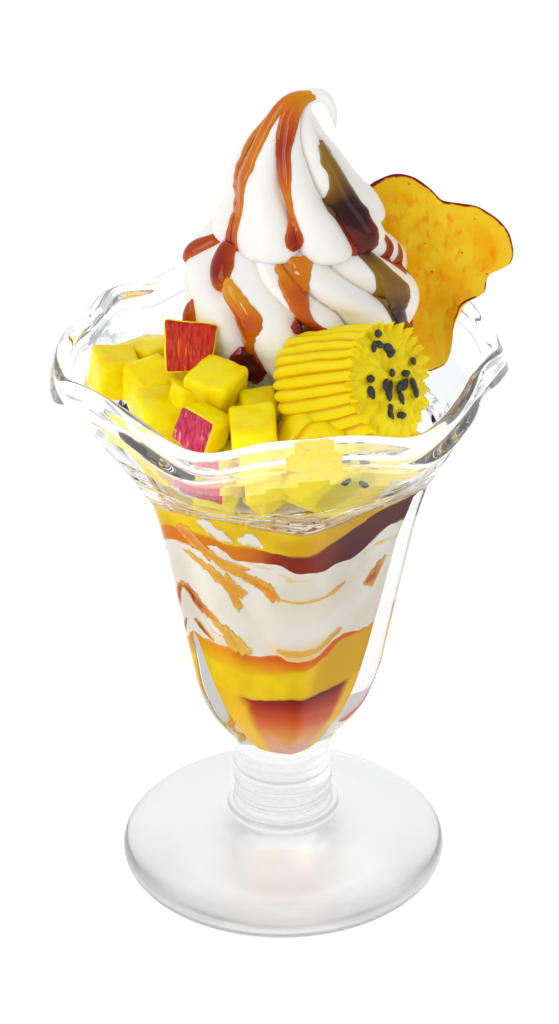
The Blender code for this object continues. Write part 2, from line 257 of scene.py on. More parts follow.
class Finish:
    """A Principled material under construction, with short calls for its procedural nodes."""

    def __init__(self, name: str, roughness: float, specular: float = 0.5) -> None:
        """Makes the material with its constant roughness and specular level.

        Args:
            name: The material's name.
            roughness: How rough its surface is.
            specular: How strongly it reflects.
        """
        self.material = bpy.data.materials.new(name)
        self.material.use_nodes = True
        self.tree = self.material.node_tree
        self.shader = self.tree.nodes["Principled BSDF"]
        self.where = self.tree.nodes.new("ShaderNodeTexCoord").outputs["Object"]
        self.set("Roughness", roughness)
        self.set("Specular IOR Level", specular)
        self.last_bump: Socket | None = None

    def set(self, socket: str, value: object) -> None:
        """Sets a constant on the shader, or links a node's output to it."""
        self.feed(self.shader.inputs[socket], value)

    def feed(self, target: Socket, value: object) -> None:
        """Links a node's output to an input, or sets the input to a number or colour.

        Args:
            target: The input.
            value: A node's output, a number or a colour.
        """
        if isinstance(value, Socket):
            self.tree.links.new(value, target)
        else:
            target.default_value = (*value, 1.0) if target.type == "RGBA" else value

    def calc(self, operation: str, first: object, second: object = 0.0, clamp: bool = False) -> Socket:
        """A math node's result.

        Args:
            operation: The operation of the math node.
            first: Its first input.
            second: Its second input.
            clamp: Whether the result is held between 0 and 1.

        Returns:
            The result.
        """
        node = self.tree.nodes.new("ShaderNodeMath")
        node.operation = operation
        node.use_clamp = clamp
        self.feed(node.inputs[0], first)
        self.feed(node.inputs[1], second)
        return node.outputs[0]

    def axis(self, name: str) -> Socket:
        """A coordinate of the surface in millimetres, X, Y or Z.

        Args:
            name: Which coordinate.

        Returns:
            The coordinate.
        """
        node = self.tree.nodes.new("ShaderNodeSeparateXYZ")
        self.tree.links.new(self.where, node.inputs[0])
        return self.calc("MULTIPLY", node.outputs[name], 1 / MM)

    def value(self) -> Socket:
        """The number that the mesh holds at each point.

        Returns:
            The number.
        """
        node = self.tree.nodes.new("ShaderNodeAttribute")
        node.attribute_name = "value"
        return node.outputs["Fac"]

    def noise(self, size: float, detail: float = 3.0, stretch: Colour = (1.0, 1.0, 1.0),
              distortion: float = 0.0) -> Socket:
        """Noise from 0 to 1 with features of a size in millimetres.

        Args:
            size: The size of a feature.
            detail: How many finer layers of noise it has.
            stretch: How much longer features are along each axis.
            distortion: How much the noise is swirled.

        Returns:
            The noise.
        """
        mapping = self.tree.nodes.new("ShaderNodeMapping")
        mapping.inputs["Scale"].default_value = tuple(1 / part for part in stretch)
        self.tree.links.new(self.where, mapping.inputs[0])
        node = self.tree.nodes.new("ShaderNodeTexNoise")
        node.inputs["Scale"].default_value = 1 / (size * MM)
        node.inputs["Detail"].default_value = detail
        node.inputs["Distortion"].default_value = distortion
        self.tree.links.new(mapping.outputs[0], node.inputs["Vector"])
        return node.outputs["Fac"]

    def uneven(self, size: float, amount: float, detail: float = 3.0, distortion: float = 0.0) -> Socket:
        """Noise of a size in millimetres that goes up and down round 0, by about half the amount."""
        level = self.calc("SUBTRACT", self.noise(size, detail, distortion=distortion), 0.5)
        return self.calc("MULTIPLY", level, amount)

    def spots(self, size: float) -> Socket:
        """The distance, as a share of a spacing in millimetres, to the nearest of scattered points.

        Args:
            size: The spacing in millimetres.

        Returns:
            The distance, from 0 to about 1.
        """
        node = self.tree.nodes.new("ShaderNodeTexVoronoi")
        node.inputs["Scale"].default_value = 1 / (size * MM)
        self.tree.links.new(self.where, node.inputs["Vector"])
        return node.outputs["Distance"]

    def step(self, value: object, low: float, high: float) -> Socket:
        """0 below low and 1 above high, smooth between; low may be the larger for a falling step.

        Args:
            value: What to read.
            low: Where the step starts.
            high: Where it ends.

        Returns:
            The step, from 0 to 1.
        """
        node = self.tree.nodes.new("ShaderNodeMapRange")
        node.interpolation_type = "SMOOTHSTEP"
        falling = low > high
        self.feed(node.inputs["Value"], value)
        node.inputs["From Min"].default_value = min(low, high)
        node.inputs["From Max"].default_value = max(low, high)
        node.inputs["To Min"].default_value = 1.0 if falling else 0.0
        node.inputs["To Max"].default_value = 0.0 if falling else 1.0
        return node.outputs["Result"]

    def blend(self, share: object, low: object, high: object) -> Socket:
        """A colour between two.

        Args:
            share: How far it is from the first colour to the second.
            low: The first colour.
            high: The second colour.

        Returns:
            The colour.
        """
        node = self.tree.nodes.new("ShaderNodeMix")
        node.data_type = "RGBA"
        self.feed(node.inputs[0], share)
        self.feed(node.inputs[6], low)
        self.feed(node.inputs[7], high)
        return node.outputs[2]

    def ramp(self, value: object, stops: Sequence[tuple[float, Colour]]) -> Socket:
        """A colour read from stops of (value, colour).

        Args:
            value: Where to read it, from 0 to 1.
            stops: The stops, in rising order.

        Returns:
            The colour.
        """
        node = self.tree.nodes.new("ShaderNodeValToRGB")
        stop_list = node.color_ramp.elements
        while len(stop_list) < len(stops):
            stop_list.new(0.5)
        for element, (place, _) in zip(stop_list, stops):
            element.position = place
        for element, (_, colour) in zip(stop_list, stops):
            element.color = (*colour, 1.0)
        self.feed(node.inputs[0], value)
        return node.outputs[0]

    def bump(self, height: object, depth: float) -> None:
        """Adds relief of a depth in millimetres, on top of any relief before it.

        Args:
            height: The relief, from 0 to 1.
            depth: Its depth in millimetres.
        """
        node = self.tree.nodes.new("ShaderNodeBump")
        node.inputs["Strength"].default_value = 1.0
        node.inputs["Distance"].default_value = depth * MM
        self.feed(node.inputs["Height"], height)
        if self.last_bump is not None:
            self.tree.links.new(self.last_bump, node.inputs["Normal"])
        self.last_bump = node.outputs[0]
        self.tree.links.new(self.last_bump, self.shader.inputs["Normal"])

    def scatter(self, weight: float, depth: Colour) -> None:
        """Lets light into the surface, to a depth in millimetres for red, green and blue.

        Args:
            weight: How much of the light goes in.
            depth: How deep each colour goes.
        """
        self.set("Subsurface Weight", weight)
        self.set("Subsurface Radius", depth)
        self.set("Subsurface Scale", MM)


@dataclass(frozen=True)
class ClearGlass:
    """Clear pressed glass, its surface rippled to a depth in millimetres."""

    name: str
    ripple: float
    ripple_size: float = 9.0
    ripple_stretch: Colour = (1.0, 1.0, 1.0)
    glow: float = 0.0
    sheen_tint: float = 1.0
    tint: Colour = (0.99, 0.995, 0.995)
    index: float = 1.46
    blur: float = 0.0

    def material(self) -> bpy.types.Material:
        """Makes the material; its glow is painted light, an emission from glass that is no lamp.

        Returns:
            The material.
        """
        finish = Finish(self.name, self.blur)
        finish.set("Base Color", self.tint)
        finish.set("IOR", self.index)
        finish.set("Transmission Weight", 1.0)
        finish.set("Specular Tint", (self.sheen_tint, self.sheen_tint, self.sheen_tint))
        # painted light: the glass glows by emission
        if self.glow:
            finish.set("Emission Color", (1.0, 1.0, 0.99))
            finish.set("Emission Strength", self.glow)
        finish.bump(finish.noise(self.ripple_size, 1.0, self.ripple_stretch), self.ripple)
        return finish.material


@dataclass(frozen=True)
class SoftServe:
    """Ivory soft serve, smooth and a little translucent."""

    light: Colour = (0.945, 0.925, 0.885)
    # painted shade: the colour that the grooves are darkened to
    groove_shade: Colour = (0.86, 0.79, 0.68)

    def material(self) -> bpy.types.Material:
        """Makes the material, with painted shade in the grooves; the mesh's value is 0 in a groove and 1 on
        a ridge.

        Returns:
            The material.
        """
        finish = Finish("soft_serve_ivory", 0.38, 0.3)
        # painted shade: the grooves darken to a warm grey, with random tone laid over it
        groove_shade_and_tone = finish.calc("ADD", finish.step(finish.value(), 0.0, 0.55),
                           finish.calc("MULTIPLY", finish.noise(7.0), 0.25), True)
        finish.set("Base Color", finish.blend(groove_shade_and_tone, self.groove_shade, self.light))
        finish.scatter(0.35, (2.4, 1.6, 1.1))
        finish.bump(finish.noise(1.1, 2.0), 0.02)
        finish.bump(finish.noise(5.0, 1.0), 0.10)
        return finish.material


@dataclass(frozen=True)
class CaramelSauce:
    """Glossy caramel, amber where it is thin and dark red-brown where it is thick."""

    thin: Colour = (0.70, 0.31, 0.004)
    amber: Colour = (0.56, 0.095, 0.0)
    red: Colour = (0.27, 0.013, 0.002)
    dark: Colour = (0.030, 0.003, 0.004)
    brown: Colour = (0.20, 0.085, 0.004)
    olive: Colour = (0.36, 0.23, 0.02)

    def material(self) -> bpy.types.Material:
        """Makes the material.

        The mesh's value is 0 where the sauce is thin, 1 where it is thick and dark, and up to 2 where
        it is dark but thinning to brown and olive.

        Returns:
            The material.
        """
        finish = Finish("caramel_sauce", 0.06, 0.3)
        depth = finish.calc("ADD", finish.value(), finish.uneven(3.0, 0.16))
        stops = ((0.0, self.thin), (0.15, self.amber), (0.31, self.red), (0.48, self.dark),
                 (0.60, self.dark), (0.76, self.brown), (1.0, self.olive))
        finish.set("Base Color", finish.ramp(finish.calc("MULTIPLY", depth, 0.5), stops))
        return finish.material


@dataclass(frozen=True)
class LayerCaramel:
    """Caramel behind the glass: dark on top, amber below, yellow where it thins at both sides."""

    name: str
    low: float
    high: float
    stops: tuple[tuple[float, Colour], ...]
    edge: Colour = (0.92, 0.55, 0.0)
    edge_share: float = 0.95
    facing: float = 283.0

    def material(self) -> bpy.types.Material:
        """Makes the material, graded by height between the layer's low and high.

        Returns:
            The material.
        """
        finish = Finish(self.name, 0.5, 0.0)
        height = finish.calc("ADD", finish.axis("Z"), finish.uneven(8.0, 5.0, 2.0, 0.6))
        share = finish.calc("DIVIDE", finish.calc("SUBTRACT", height, self.low), self.high - self.low)
        graded = finish.ramp(share, self.stops)
        angle = finish.calc("ARCTAN2", finish.axis("Y"), finish.axis("X"))
        turned = finish.calc("MULTIPLY", finish.calc("SUBTRACT", angle, math.radians(self.facing)), 2.0)
        shift = finish.calc("ADD", finish.uneven(6.0, 0.7), finish.calc("MULTIPLY", share, 0.45))
        lobes = finish.calc("ADD", finish.calc("COSINE", turned), shift)
        thinning = finish.calc("MULTIPLY", finish.step(lobes, 0.60, -0.10), self.edge_share)
        finish.set("Base Color", finish.blend(thinning, graded, self.edge))
        return finish.material


@dataclass(frozen=True)
class PotatoPaste:
    """Moist yellow sweet potato paste."""

    light: Colour = (0.94, 0.66, 0.0)
    deep: Colour = (0.76, 0.42, 0.0)

    def material(self) -> bpy.types.Material:
        """Makes the material, with painted shade that makes it a little deeper toward +X.

        Returns:
            The material.
        """
        finish = Finish("potato_paste_moist", 0.5, 0.0)
        # painted shade toward +X, away from the key light, on top of random mottles
        share = finish.calc("ADD", finish.step(finish.noise(7.0, 3.0), 0.40, 0.8),
                            finish.step(finish.axis("X"), 2.0, 9.0), True)
        finish.set("Base Color", finish.blend(share, self.light, self.deep))
        finish.bump(finish.noise(1.5), 0.08)
        return finish.material


@dataclass(frozen=True)
class PipedPaste:
    """Piped sweet potato cream: smooth yellow, with painted shade in the grooves."""

    light: Colour = (0.90, 0.71, 0.004)
    deep: Colour = (0.76, 0.42, 0.0)

    def material(self) -> bpy.types.Material:
        """Makes the material; the mesh's value is 0 in a groove and 1 on a rib.

        Returns:
            The material.
        """
        finish = Finish("piped_cream_satin", 0.34, 0.14)
        # painted shade: the grooves darken to the deep colour, with random tone laid over it
        groove_shade_and_tone = finish.calc("ADD", finish.step(finish.value(), 0.0, 0.7), finish.uneven(4.0, 0.5), True)
        finish.set("Base Color", finish.blend(groove_shade_and_tone, self.deep, self.light))
        finish.scatter(0.25, (1.6, 1.0, 0.2))
        finish.bump(finish.noise(0.9, 3.0), 0.10)
        return finish.material


@dataclass(frozen=True)
class CookedPotato:
    """The cut face of cooked sweet potato: wet, bright yellow, faintly fibrous."""

    light: Colour = (0.95, 0.80, 0.004)
    deep: Colour = (0.92, 0.66, 0.0)

    def material(self) -> bpy.types.Material:
        """Makes the material.

        Returns:
            The material.
        """
        finish = Finish("potato_cut_face", 0.24, 0.14)
        share = finish.step(finish.noise(5.0, 4.0), 0.38, 0.68)
        finish.set("Base Color", finish.blend(share, self.light, self.deep))
        finish.scatter(0.45, (2.2, 1.4, 0.2))
        finish.bump(finish.noise(2.2, 4.0), 0.22)
        finish.bump(finish.noise(0.35, 2.0), 0.03)
        return finish.material


@dataclass(frozen=True)
class PotatoSkin:
    """Thin skin with fine darker lines along one direction."""

    name: str
    base: Colour
    line: Colour
    pale: Colour
    stretch: Colour

    def material(self) -> bpy.types.Material:
        """Makes the material.

        Returns:
            The material.
        """
        finish = Finish(self.name, 0.28, 0.25)
        lines = finish.step(finish.noise(0.55, 3.0, self.stretch, 0.4), 0.40, 0.62)
        flecks = finish.step(finish.noise(0.9, 3.0, self.stretch), 0.58, 0.74)
        lined = finish.blend(lines, self.base, self.line)
        finish.set("Base Color", finish.blend(flecks, lined, self.pale))
        finish.bump(lines, 0.06)
        return finish.material


@dataclass(frozen=True)
class DriedSlice:
    """A dried slice: mottled amber flesh, paler near its rim, dark red skin on its edge."""

    pale: Colour = (0.95, 0.66, 0.02)
    amber: Colour = (0.94, 0.48, 0.0)
    orange: Colour = (0.90, 0.27, 0.0)
    skin: Colour = (0.24, 0.008, 0.006)
    dot: Colour = (0.35, 0.04, 0.01)

    def material(self) -> bpy.types.Material:
        """Makes the material; the mesh's value is 0 at the middle and 1 on the rim.

        Returns:
            The material.
        """
        finish = Finish("dried_slice", 0.40, 0.12)
        mottle = finish.step(finish.noise(5.0, 6.0), 0.30, 0.66)
        flesh = finish.blend(mottle, self.pale, self.amber)
        streaks = finish.step(finish.noise(1.6, 5.0, (1, 1, 2.4)), 0.50, 0.74)
        flesh = finish.blend(finish.calc("MULTIPLY", streaks, 0.75), flesh, self.orange)
        reach = finish.calc("ADD", finish.value(), finish.uneven(3.0, 0.06))
        flesh = finish.blend(finish.calc("MULTIPLY", finish.step(reach, 0.78, 0.88), 0.6), flesh, self.pale)
        spots = finish.step(finish.spots(3.4), 0.10, 0.05)
        flesh = finish.blend(finish.calc("MULTIPLY", spots, 0.8), flesh, self.dot)
        finish.set("Base Color", finish.blend(finish.step(reach, 0.972, 0.99), flesh, self.skin))
        finish.scatter(0.2, (1.5, 0.7, 0.1))
        finish.bump(finish.noise(2.4, 4.0), 0.35)
        finish.bump(finish.noise(0.7, 3.0), 0.10)
        return finish.material


@dataclass(frozen=True)
class BlackSesame:
    """Black sesame seed coats, faintly ridged."""

    coat: Colour = (0.012, 0.011, 0.012)
    worn: Colour = (0.055, 0.050, 0.048)

    def material(self) -> bpy.types.Material:
        """Makes the material.

        Returns:
            The material.
        """
        finish = Finish("black_sesame", 0.42)
        share = finish.step(finish.noise(0.5), 0.45, 0.75)
        finish.set("Base Color", finish.blend(share, self.coat, self.worn))
        finish.bump(finish.noise(0.25), 0.05)
        return finish.material


@dataclass
class SundaeGlass:
    """The glass: a turned foot and stem, a six-sided bowl and a waved, flared rim."""

    sides: int = 6
    segments: int = 288
    turn: float = math.radians(8.5)
    outer_sharpness: float = 30.0
    cavity_sharpness: float = 12.0
    # The cavity is round up to ledge_z and six-sided at shoulder_z
    ledge_z: float = 105.0
    shoulder_z: float = 106.0
    shoulder_height: float = 7.0
    foot_radius: float = 38.1
    foot_edge: float = 4.0
    # (radius, height) of the foot's dome
    dome: Path = ((15.0, 10.4), (17.5, 9.3), (21.0, 8.0), (30.0, 5.2), (36.1, 4.0))
    collar_radius: float = 13.3
    collar_z: float = 13.0
    collar_bead: float = 1.5
    stem_radius: float = 11.2
    stem_rings: tuple[float, ...] = (17.0, 20.5, 25.0)
    stem_bead: float = 0.4
    stem_top: float = 28.0
    # Over this height the bowl turns from round to six-sided
    squaring: float = 12.0
    rim_radius: float = 46.85
    rim_z: float = 132.6
    # The lip's wave: how far its six tips reach out and drop, and a finer wave of twice as many
    tip_out: float = 1.4
    tip_drop: float = 1.5
    second_out: float = -0.3
    second_drop: float = 0.65
    # The flare spreads over its height, its radius ahead of its height by the power flare_reach
    flare_reach: float = 0.8
    flare_height: float = 24.6
    flare_spread: float = 14.1
    # The lip is what lies above lip_low and less than lip_width inside the rim
    lip_low: float = 120.0
    lip_width: float = 3.2
    # (outward, upward) of the lip, from its outer side over its top to its inner side
    lip_section: Path = (
        (0.2, -6.2), (1.9, -5.4), (2.7, -4.3), (2.6, -3.0), (1.9, -0.9), (1.6, 0.4), (0.8, 1.2),
        (-0.1, 1.5), (-1.0, 1.1), (-1.7, 0.2), (-1.9, -1.2), (-2.4, -4.2))
    # (height, radius) of the bowl's outside, of the cavity and of its ledge
    bowl: Path = (
        (30.0, 11.2), (33.0, 11.9), (36.0, 13.6), (40.0, 16.7), (46.0, 20.5), (54.0, 23.5), (64.0, 25.6),
        (76.0, 28.0), (88.0, 30.4), (98.0, 32.6), (106.0, 35.0))
    cavity: Path = (
        (32.5, 2.5), (35.0, 4.4), (38.5, 6.2), (42.0, 8.2), (47.0, 10.8), (54.0, 13.4), (64.0, 15.7),
        (76.0, 18.2), (88.0, 20.5), (96.0, 22.7), (104.6, 24.9))
    ledge: Path = ((104.6, 24.9), (105.0, 25.3), (105.4, 27.2), (106.0, 30.6))

    def hexagon(self, angle: float, sharpness: float) -> float:
        """Radius of a rounded hexagon in a direction, 1 over its ridges.

        Args:
            angle: The direction round the axis, in radians.
            sharpness: How sharp its ridges are.

        Returns:
            The radius, as a share of the radius over a ridge.
        """
        def rounded(direction: float) -> float:
            """The hexagon before it is scaled.

            Args:
                direction: The direction round the axis, in radians.

            Returns:
                The radius before it is scaled.
            """
            normals = (self.turn + math.tau * side / self.sides for side in range(self.sides))
            total = sum(max(0.0, math.cos(direction - normal)) ** sharpness for normal in normals)
            return total ** (-1.0 / sharpness)
        return rounded(angle) / rounded(self.turn + math.pi / self.sides)

    def angles(self) -> list[float]:
        """The directions of the mesh's columns."""
        return [self.turn + angle for angle in ring_angles(self.segments)]

    def ring(self, radius: float, height: float, sharpness: float = 30.0, squareness: float = 0.0) -> Ring:
        """A ring between round (squareness 0) and six-sided (1)."""
        return [polar(radius * (1 + squareness * (self.hexagon(angle, sharpness) - 1)), angle, height)
                for angle in self.angles()]

    def cavity_radius(self, angle: float, height: float) -> float:
        """Radius of the cavity wall below the shoulder: round up to its ledge, six-sided above.

        Args:
            angle: The direction round the axis, in radians.
            height: The height to read.

        Returns:
            The radius.
        """
        if height <= self.cavity[-1][0]:
            return smooth_value(self.cavity, height)
        squareness = limit((height - self.ledge_z) / (self.shoulder_z - self.ledge_z))
        outline = 1 + squareness * (self.hexagon(angle, self.cavity_sharpness) - 1)
        return smooth_value(self.ledge, height) * outline

    def inner_radius(self, angle: float, height: float) -> float:
        """Radius of the inner wall above the shoulder.

        Args:
            angle: The direction round the axis, in radians.
            height: The height to read.

        Returns:
            The radius.
        """
        rise = max(0.0, (height - self.shoulder_z) / self.flare_height)
        radius = self.ledge[-1][1] + self.flare_spread * rise ** self.flare_reach
        return radius * self.hexagon(angle, self.cavity_sharpness)

    def rim_point(self, angle: float, outward: float, upward: float) -> Vector:
        """A point beside the lip's waved centre line.

        Args:
            angle: The direction round the axis, in radians.
            outward: How far outside the line it is.
            upward: How far above it.

        Returns:
            The point.
        """
        wave = self.sides * (angle - self.turn)
        radius = self.rim_radius + self.tip_out * math.cos(wave) + self.second_out * math.cos(2 * wave)
        height = self.rim_z - self.tip_drop * math.cos(wave) - self.second_drop * math.cos(2 * wave)
        return polar(radius + outward, angle, height + upward)

    def rounding(self, radius: float, height: float, size: float, low: float, high: float) -> list[Ring]:
        """Rings up a rounded edge between two angles from level, in degrees.

        Args:
            radius: The radius of the edge.
            height: The height of its middle.
            size: The radius of its rounding.
            low: Where the rounding starts.
            high: Where it ends.

        Returns:
            The rings.
        """
        steps = 8
        turns = [math.radians(mix(low, high, step / steps)) for step in range(steps + 1)]
        return [self.ring(radius - size + size * math.cos(turn), height + size * math.sin(turn))
                for turn in turns]

    def foot_and_stem(self) -> list[Ring]:
        """Rings of the foot, its dome, the collar bead and the ringed stem.

        Returns:
            The rings, bottom to top.
        """
        half = self.foot_edge / 2
        rings = [self.ring(radius, 0.0) for radius in (12.0, 24.0, self.foot_radius - 1.5)]
        rings += self.rounding(self.foot_radius, half, half, -60, 80)
        for step in range(1, 16):
            radius = mix(self.dome[-1][0], self.dome[0][0], step / 15)
            rings.append(self.ring(radius, smooth_value(self.dome, radius)))
        rings += self.rounding(self.collar_radius, self.collar_z, self.collar_bead, -50, 85)
        for height in self.stem_rings:
            for step in range(-4, 5):
                bead = self.stem_bead * math.cos(math.pi * step / 8) ** 2
                rings.append(self.ring(self.stem_radius + bead, height + step / 4))
        return rings

    def bowl_rings(self) -> list[Ring]:
        """Rings of the bowl from the stem to the shoulder.

        Returns:
            The rings, bottom to top.
        """
        steps = 50
        rings = []
        for step in range(steps + 1):
            height = mix(self.stem_top, self.shoulder_z, step / steps)
            squareness = limit((height - self.bowl[0][0]) / self.squaring)
            radius = smooth_value(self.bowl, height)
            rings.append(self.ring(radius, height, self.outer_sharpness, squareness))
        return rings

    def cavity_rings(self) -> list[Ring]:
        """Rings of the cavity from its floor to the shoulder.

        Returns:
            The rings, bottom to top.
        """
        steps = 50
        heights = [mix(self.cavity[0][0], self.cavity[-1][0], step / steps) for step in range(steps + 1)]
        heights += [mix(self.ledge[0][0], self.shoulder_z, step / 8) for step in range(1, 9)]
        return [[polar(self.cavity_radius(angle, height), angle, height) for angle in self.angles()]
                for height in heights]

    def between(self, low: Ring, high: Ring, share: float) -> Ring:
        """The ring at a share of the way up between two, its radius ahead of its height.

        Args:
            low: The lower ring.
            high: The upper ring.
            share: The share of the way up.

        Returns:
            The ring.
        """
        reach = share ** self.flare_reach
        return [Vector((mix(a.x, b.x, reach), mix(a.y, b.y, reach), mix(a.z, b.z, share)))
                for a, b in zip(low, high)]

    def lip_rings(self) -> list[Ring]:
        """Rings over the lip, on a smooth curve through its section."""
        return [[self.rim_point(angle, outward, upward) for angle in self.angles()]
                for outward, upward in along_path(self.lip_section, 4)]

    def build(self) -> None:
        """Makes the glass."""
        lip, bowl, cavity = self.lip_rings(), self.bowl_rings(), self.cavity_rings()
        steps = 14
        outside = [self.between(bowl[-1], lip[0], step / steps) for step in range(1, steps)]
        inside = [self.between(cavity[-1], lip[-1], step / steps) for step in range(steps - 1, 0, -1)]
        body = Body()
        body.loft(self.foot_and_stem() + bowl + outside + lip + inside + cavity[::-1])
        body.marks = [self.part_of(body.points[face[0]]) for face in body.faces]
        finishes = (ClearGlass("glass_bowl", 0.04, sheen_tint=0.1, tint=(0.96, 0.965, 0.97)),
                    # painted light: the lip glows by emission
                    ClearGlass("glass_lip", 0.05, glow=0.10),
                    ClearGlass("glass_shoulder", 0.5, 3.0, (2.5, 2.5, 0.5), sheen_tint=0.5),
                    # painted light and shade: the foot glows a little by emission, and its grey tint paints
                    # shade
                    ClearGlass("glass_foot", 0.03, glow=0.02, tint=(0.84, 0.845, 0.85), blur=0.2),
                    # painted shade: the flare's grey tint
                    ClearGlass("glass_flare", 0.04, sheen_tint=0.2, index=1.22, tint=(0.90, 0.91, 0.92)))
        piece = body.make("sundae_glass", [finish.material() for finish in finishes], 40.0)
        piece.visible_shadow = False
        register(piece, "glass_clear", "glass")

    def part_of(self, point: Vector) -> int:
        """Which finish a point has: bowl 0, lip 1, shoulder 2, foot and stem 3 or flare 4.

        Args:
            point: The point.

        Returns:
            The number of the finish.
        """
        if point.z < self.bowl[0][0]:
            return 3
        if point.z > self.lip_low and math.hypot(point.x, point.y) > self.rim_radius - self.lip_width:
            return 1
        if point.z > self.shoulder_z + self.shoulder_height:
            return 4
        return 2 if point.z >= self.shoulder_z else 0


@dataclass
class FilledLayers:
    """The layers inside the bowl, each reaching just into the glass wall and into its neighbours."""

    glass: SundaeGlass
    reach: float = 0.3
    overlap: float = 0.2
    segments: int = 180
    steps: int = 10
    shares: tuple[float, ...] = (0.15, 0.4, 0.65, 0.85, 1.0)
    # Height of each surface at the wall, by direction, bottom to top
    surfaces: tuple[Path, ...] = (
        ((0, 33.0), (180, 33.0)),
        ((0, 54.0), (45, 53.0), (90, 52.4), (140, 53.2), (180, 52.8), (219, 52.6), (242, 52.2),
         (268, 53.0), (282, 53.6), (301, 54.2), (336, 54.2)),
        ((0, 65.6), (45, 63.8), (90, 61.0), (140, 60.0), (180, 60.4), (210, 60.6), (237, 59.6),
         (267, 60.6), (283, 62.0), (298, 64.8), (312, 68.0), (336, 67.0)),
        ((0, 66.8), (45, 66.6), (90, 65.4), (140, 65.0), (175, 65.8), (201, 65.8), (231, 66.2),
         (253, 65.4), (270, 66.4), (281, 64.8), (292, 65.6), (308, 69.0), (325, 68.4), (347, 67.1)),
        ((0, 95.0), (45, 92.6), (90, 91.2), (140, 92.0), (180, 93.4), (220, 93.8), (235, 93.8),
         (247, 93.2), (263, 93.3), (273, 93.4), (281, 91.3), (288, 90.8), (299, 91.8), (308, 91.4),
         (316, 92.2), (326, 94.6), (337, 96.2)),
        ((0, 102.6), (45, 99.6), (90, 96.6), (140, 96.0), (185, 97.6), (233, 98.6), (240, 97.5),
         (254, 97.7), (268, 97.0), (282, 96.6), (293, 99.1), (313, 101.6), (328, 103.0)),
        ((0, 104.0), (90, 104.1), (180, 104.2), (270, 104.0)),
    )
    nodes: tuple[str, ...] = ("caramel_bottom", "potato_paste_lower", "caramel_middle", "soft_serve_middle",
                              "caramel_upper", "potato_paste_upper")

    def height(self, surface: int, angle: float) -> float:
        """Height of a surface at the wall, with fine unevenness.

        Args:
            surface: The number of the surface, bottom to top.
            angle: The direction round the axis, in radians.

        Returns:
            The height.
        """
        base = round_value(self.surfaces[surface], math.degrees(angle))
        if surface in (0, len(self.surfaces) - 1):
            return base
        coarse = 0.45 * lumps(polar(20.0, angle, 0.0), 4.0, surface)
        fine = 0.30 * lumps(polar(20.0, angle, 9.0), 1.6, surface)
        return base + (coarse + fine)

    def wall(self, angle: float, height: float) -> Vector:
        """A point just inside the glass of the wall."""
        return polar(self.glass.cavity_radius(angle, height) + self.reach, angle, height)

    def disc(self, surface: int, lift: float, shares: Sequence[float]) -> list[Ring]:
        """Rings of a surface between the axis and the wall.

        Args:
            surface: The number of the surface, bottom to top.
            lift: How far the rings are lifted.
            shares: How far out each ring is, 1 at the wall.

        Returns:
            The rings.
        """
        angles = ring_angles(self.segments)
        level = sum(self.height(surface, angle) for angle in angles) / len(angles)
        edge = [self.wall(angle, self.height(surface, angle) + lift) for angle in angles]
        return [[Vector((share * point.x, share * point.y, mix(level + lift, point.z, share ** 2)))
                 for point in edge] for share in shares]

    def layer(self, index: int) -> Body:
        """The mesh of one layer.

        Args:
            index: The number of the layer, bottom to top.

        Returns:
            The mesh.
        """
        low_lift = -self.overlap if index else 0.0
        rings = self.disc(index, low_lift, self.shares)
        for step in range(1, self.steps):
            ring = []
            for angle in ring_angles(self.segments):
                low = self.height(index, angle) + low_lift
                high = self.height(index + 1, angle) + self.overlap
                ring.append(self.wall(angle, mix(low, high, step / self.steps)))
            rings.append(ring)
        rings += self.disc(index + 1, self.overlap, self.shares[::-1])
        body = Body()
        body.loft(rings)
        return body

    def finishes(self) -> tuple[bpy.types.Material, ...]:
        """The material of each layer, bottom to top.

        Returns:
            The materials.
        """
        dark, red, orange = (0.14, 0.003, 0.001), (0.42, 0.014, 0.0), (0.76, 0.12, 0.0)
        amber, yellow, blush = (0.84, 0.32, 0.0), (0.90, 0.56, 0.0), (0.82, 0.42, 0.30)
        bottom = LayerCaramel("caramel_bottom_look", 35.0, 54.5,
                              ((0.08, blush), (0.30, amber), (0.50, orange), (0.80, red), (0.97, dark)))
        middle = LayerCaramel("caramel_middle_look", 59.5, 67.5,
                              ((0.0, yellow), (0.35, amber), (0.7, orange), (1.0, orange)), edge_share=0.5)
        paste = PotatoPaste().material()
        return (bottom.material(), paste, middle.material(), MarbledServe().material(),
                UpperCaramel().material(), paste)

    def build(self) -> None:
        """Makes the six layers."""
        slots = ("caramel", "potato_paste", "caramel", "soft_serve", "caramel", "potato_paste")
        for index, (node, material, slot) in enumerate(zip(self.nodes, self.finishes(), slots)):
            piece = self.layer(index).make(node + "_fill", [material], 50.0)
            register(piece, slot, node)


@dataclass(frozen=True)
class MarbledServe:
    """Soft serve pressed against the glass, with pale amber veils of caramel."""

    light: Colour = (0.92, 0.89, 0.82)
    shade: Colour = (0.84, 0.79, 0.68)
    veil: Colour = (0.88, 0.55, 0.12)

    def material(self) -> bpy.types.Material:
        """Makes the material.

        Returns:
            The material.
        """
        finish = Finish("soft_serve_marbled", 0.5, 0.0)
        base = finish.blend(finish.step(finish.noise(12.0, 2.0), 0.4, 0.7), self.light, self.shade)
        bands = finish.noise(7.0, 3.0, (2.4, 2.4, 0.7), 1.2)
        upper = finish.step(finish.axis("Z"), 82.0, 91.0)
        veil = finish.calc("MULTIPLY", finish.step(bands, 0.60, 0.70), upper)
        low = finish.calc("MULTIPLY", finish.step(finish.noise(9.0, 2.0), 0.46, 0.60),
                          finish.step(finish.axis("Z"), 72.0, 66.5))
        cover = finish.calc("MULTIPLY", finish.calc("MAXIMUM", veil, low), 0.75)
        finish.set("Base Color", finish.blend(cover, base, self.veil))
        return finish.material


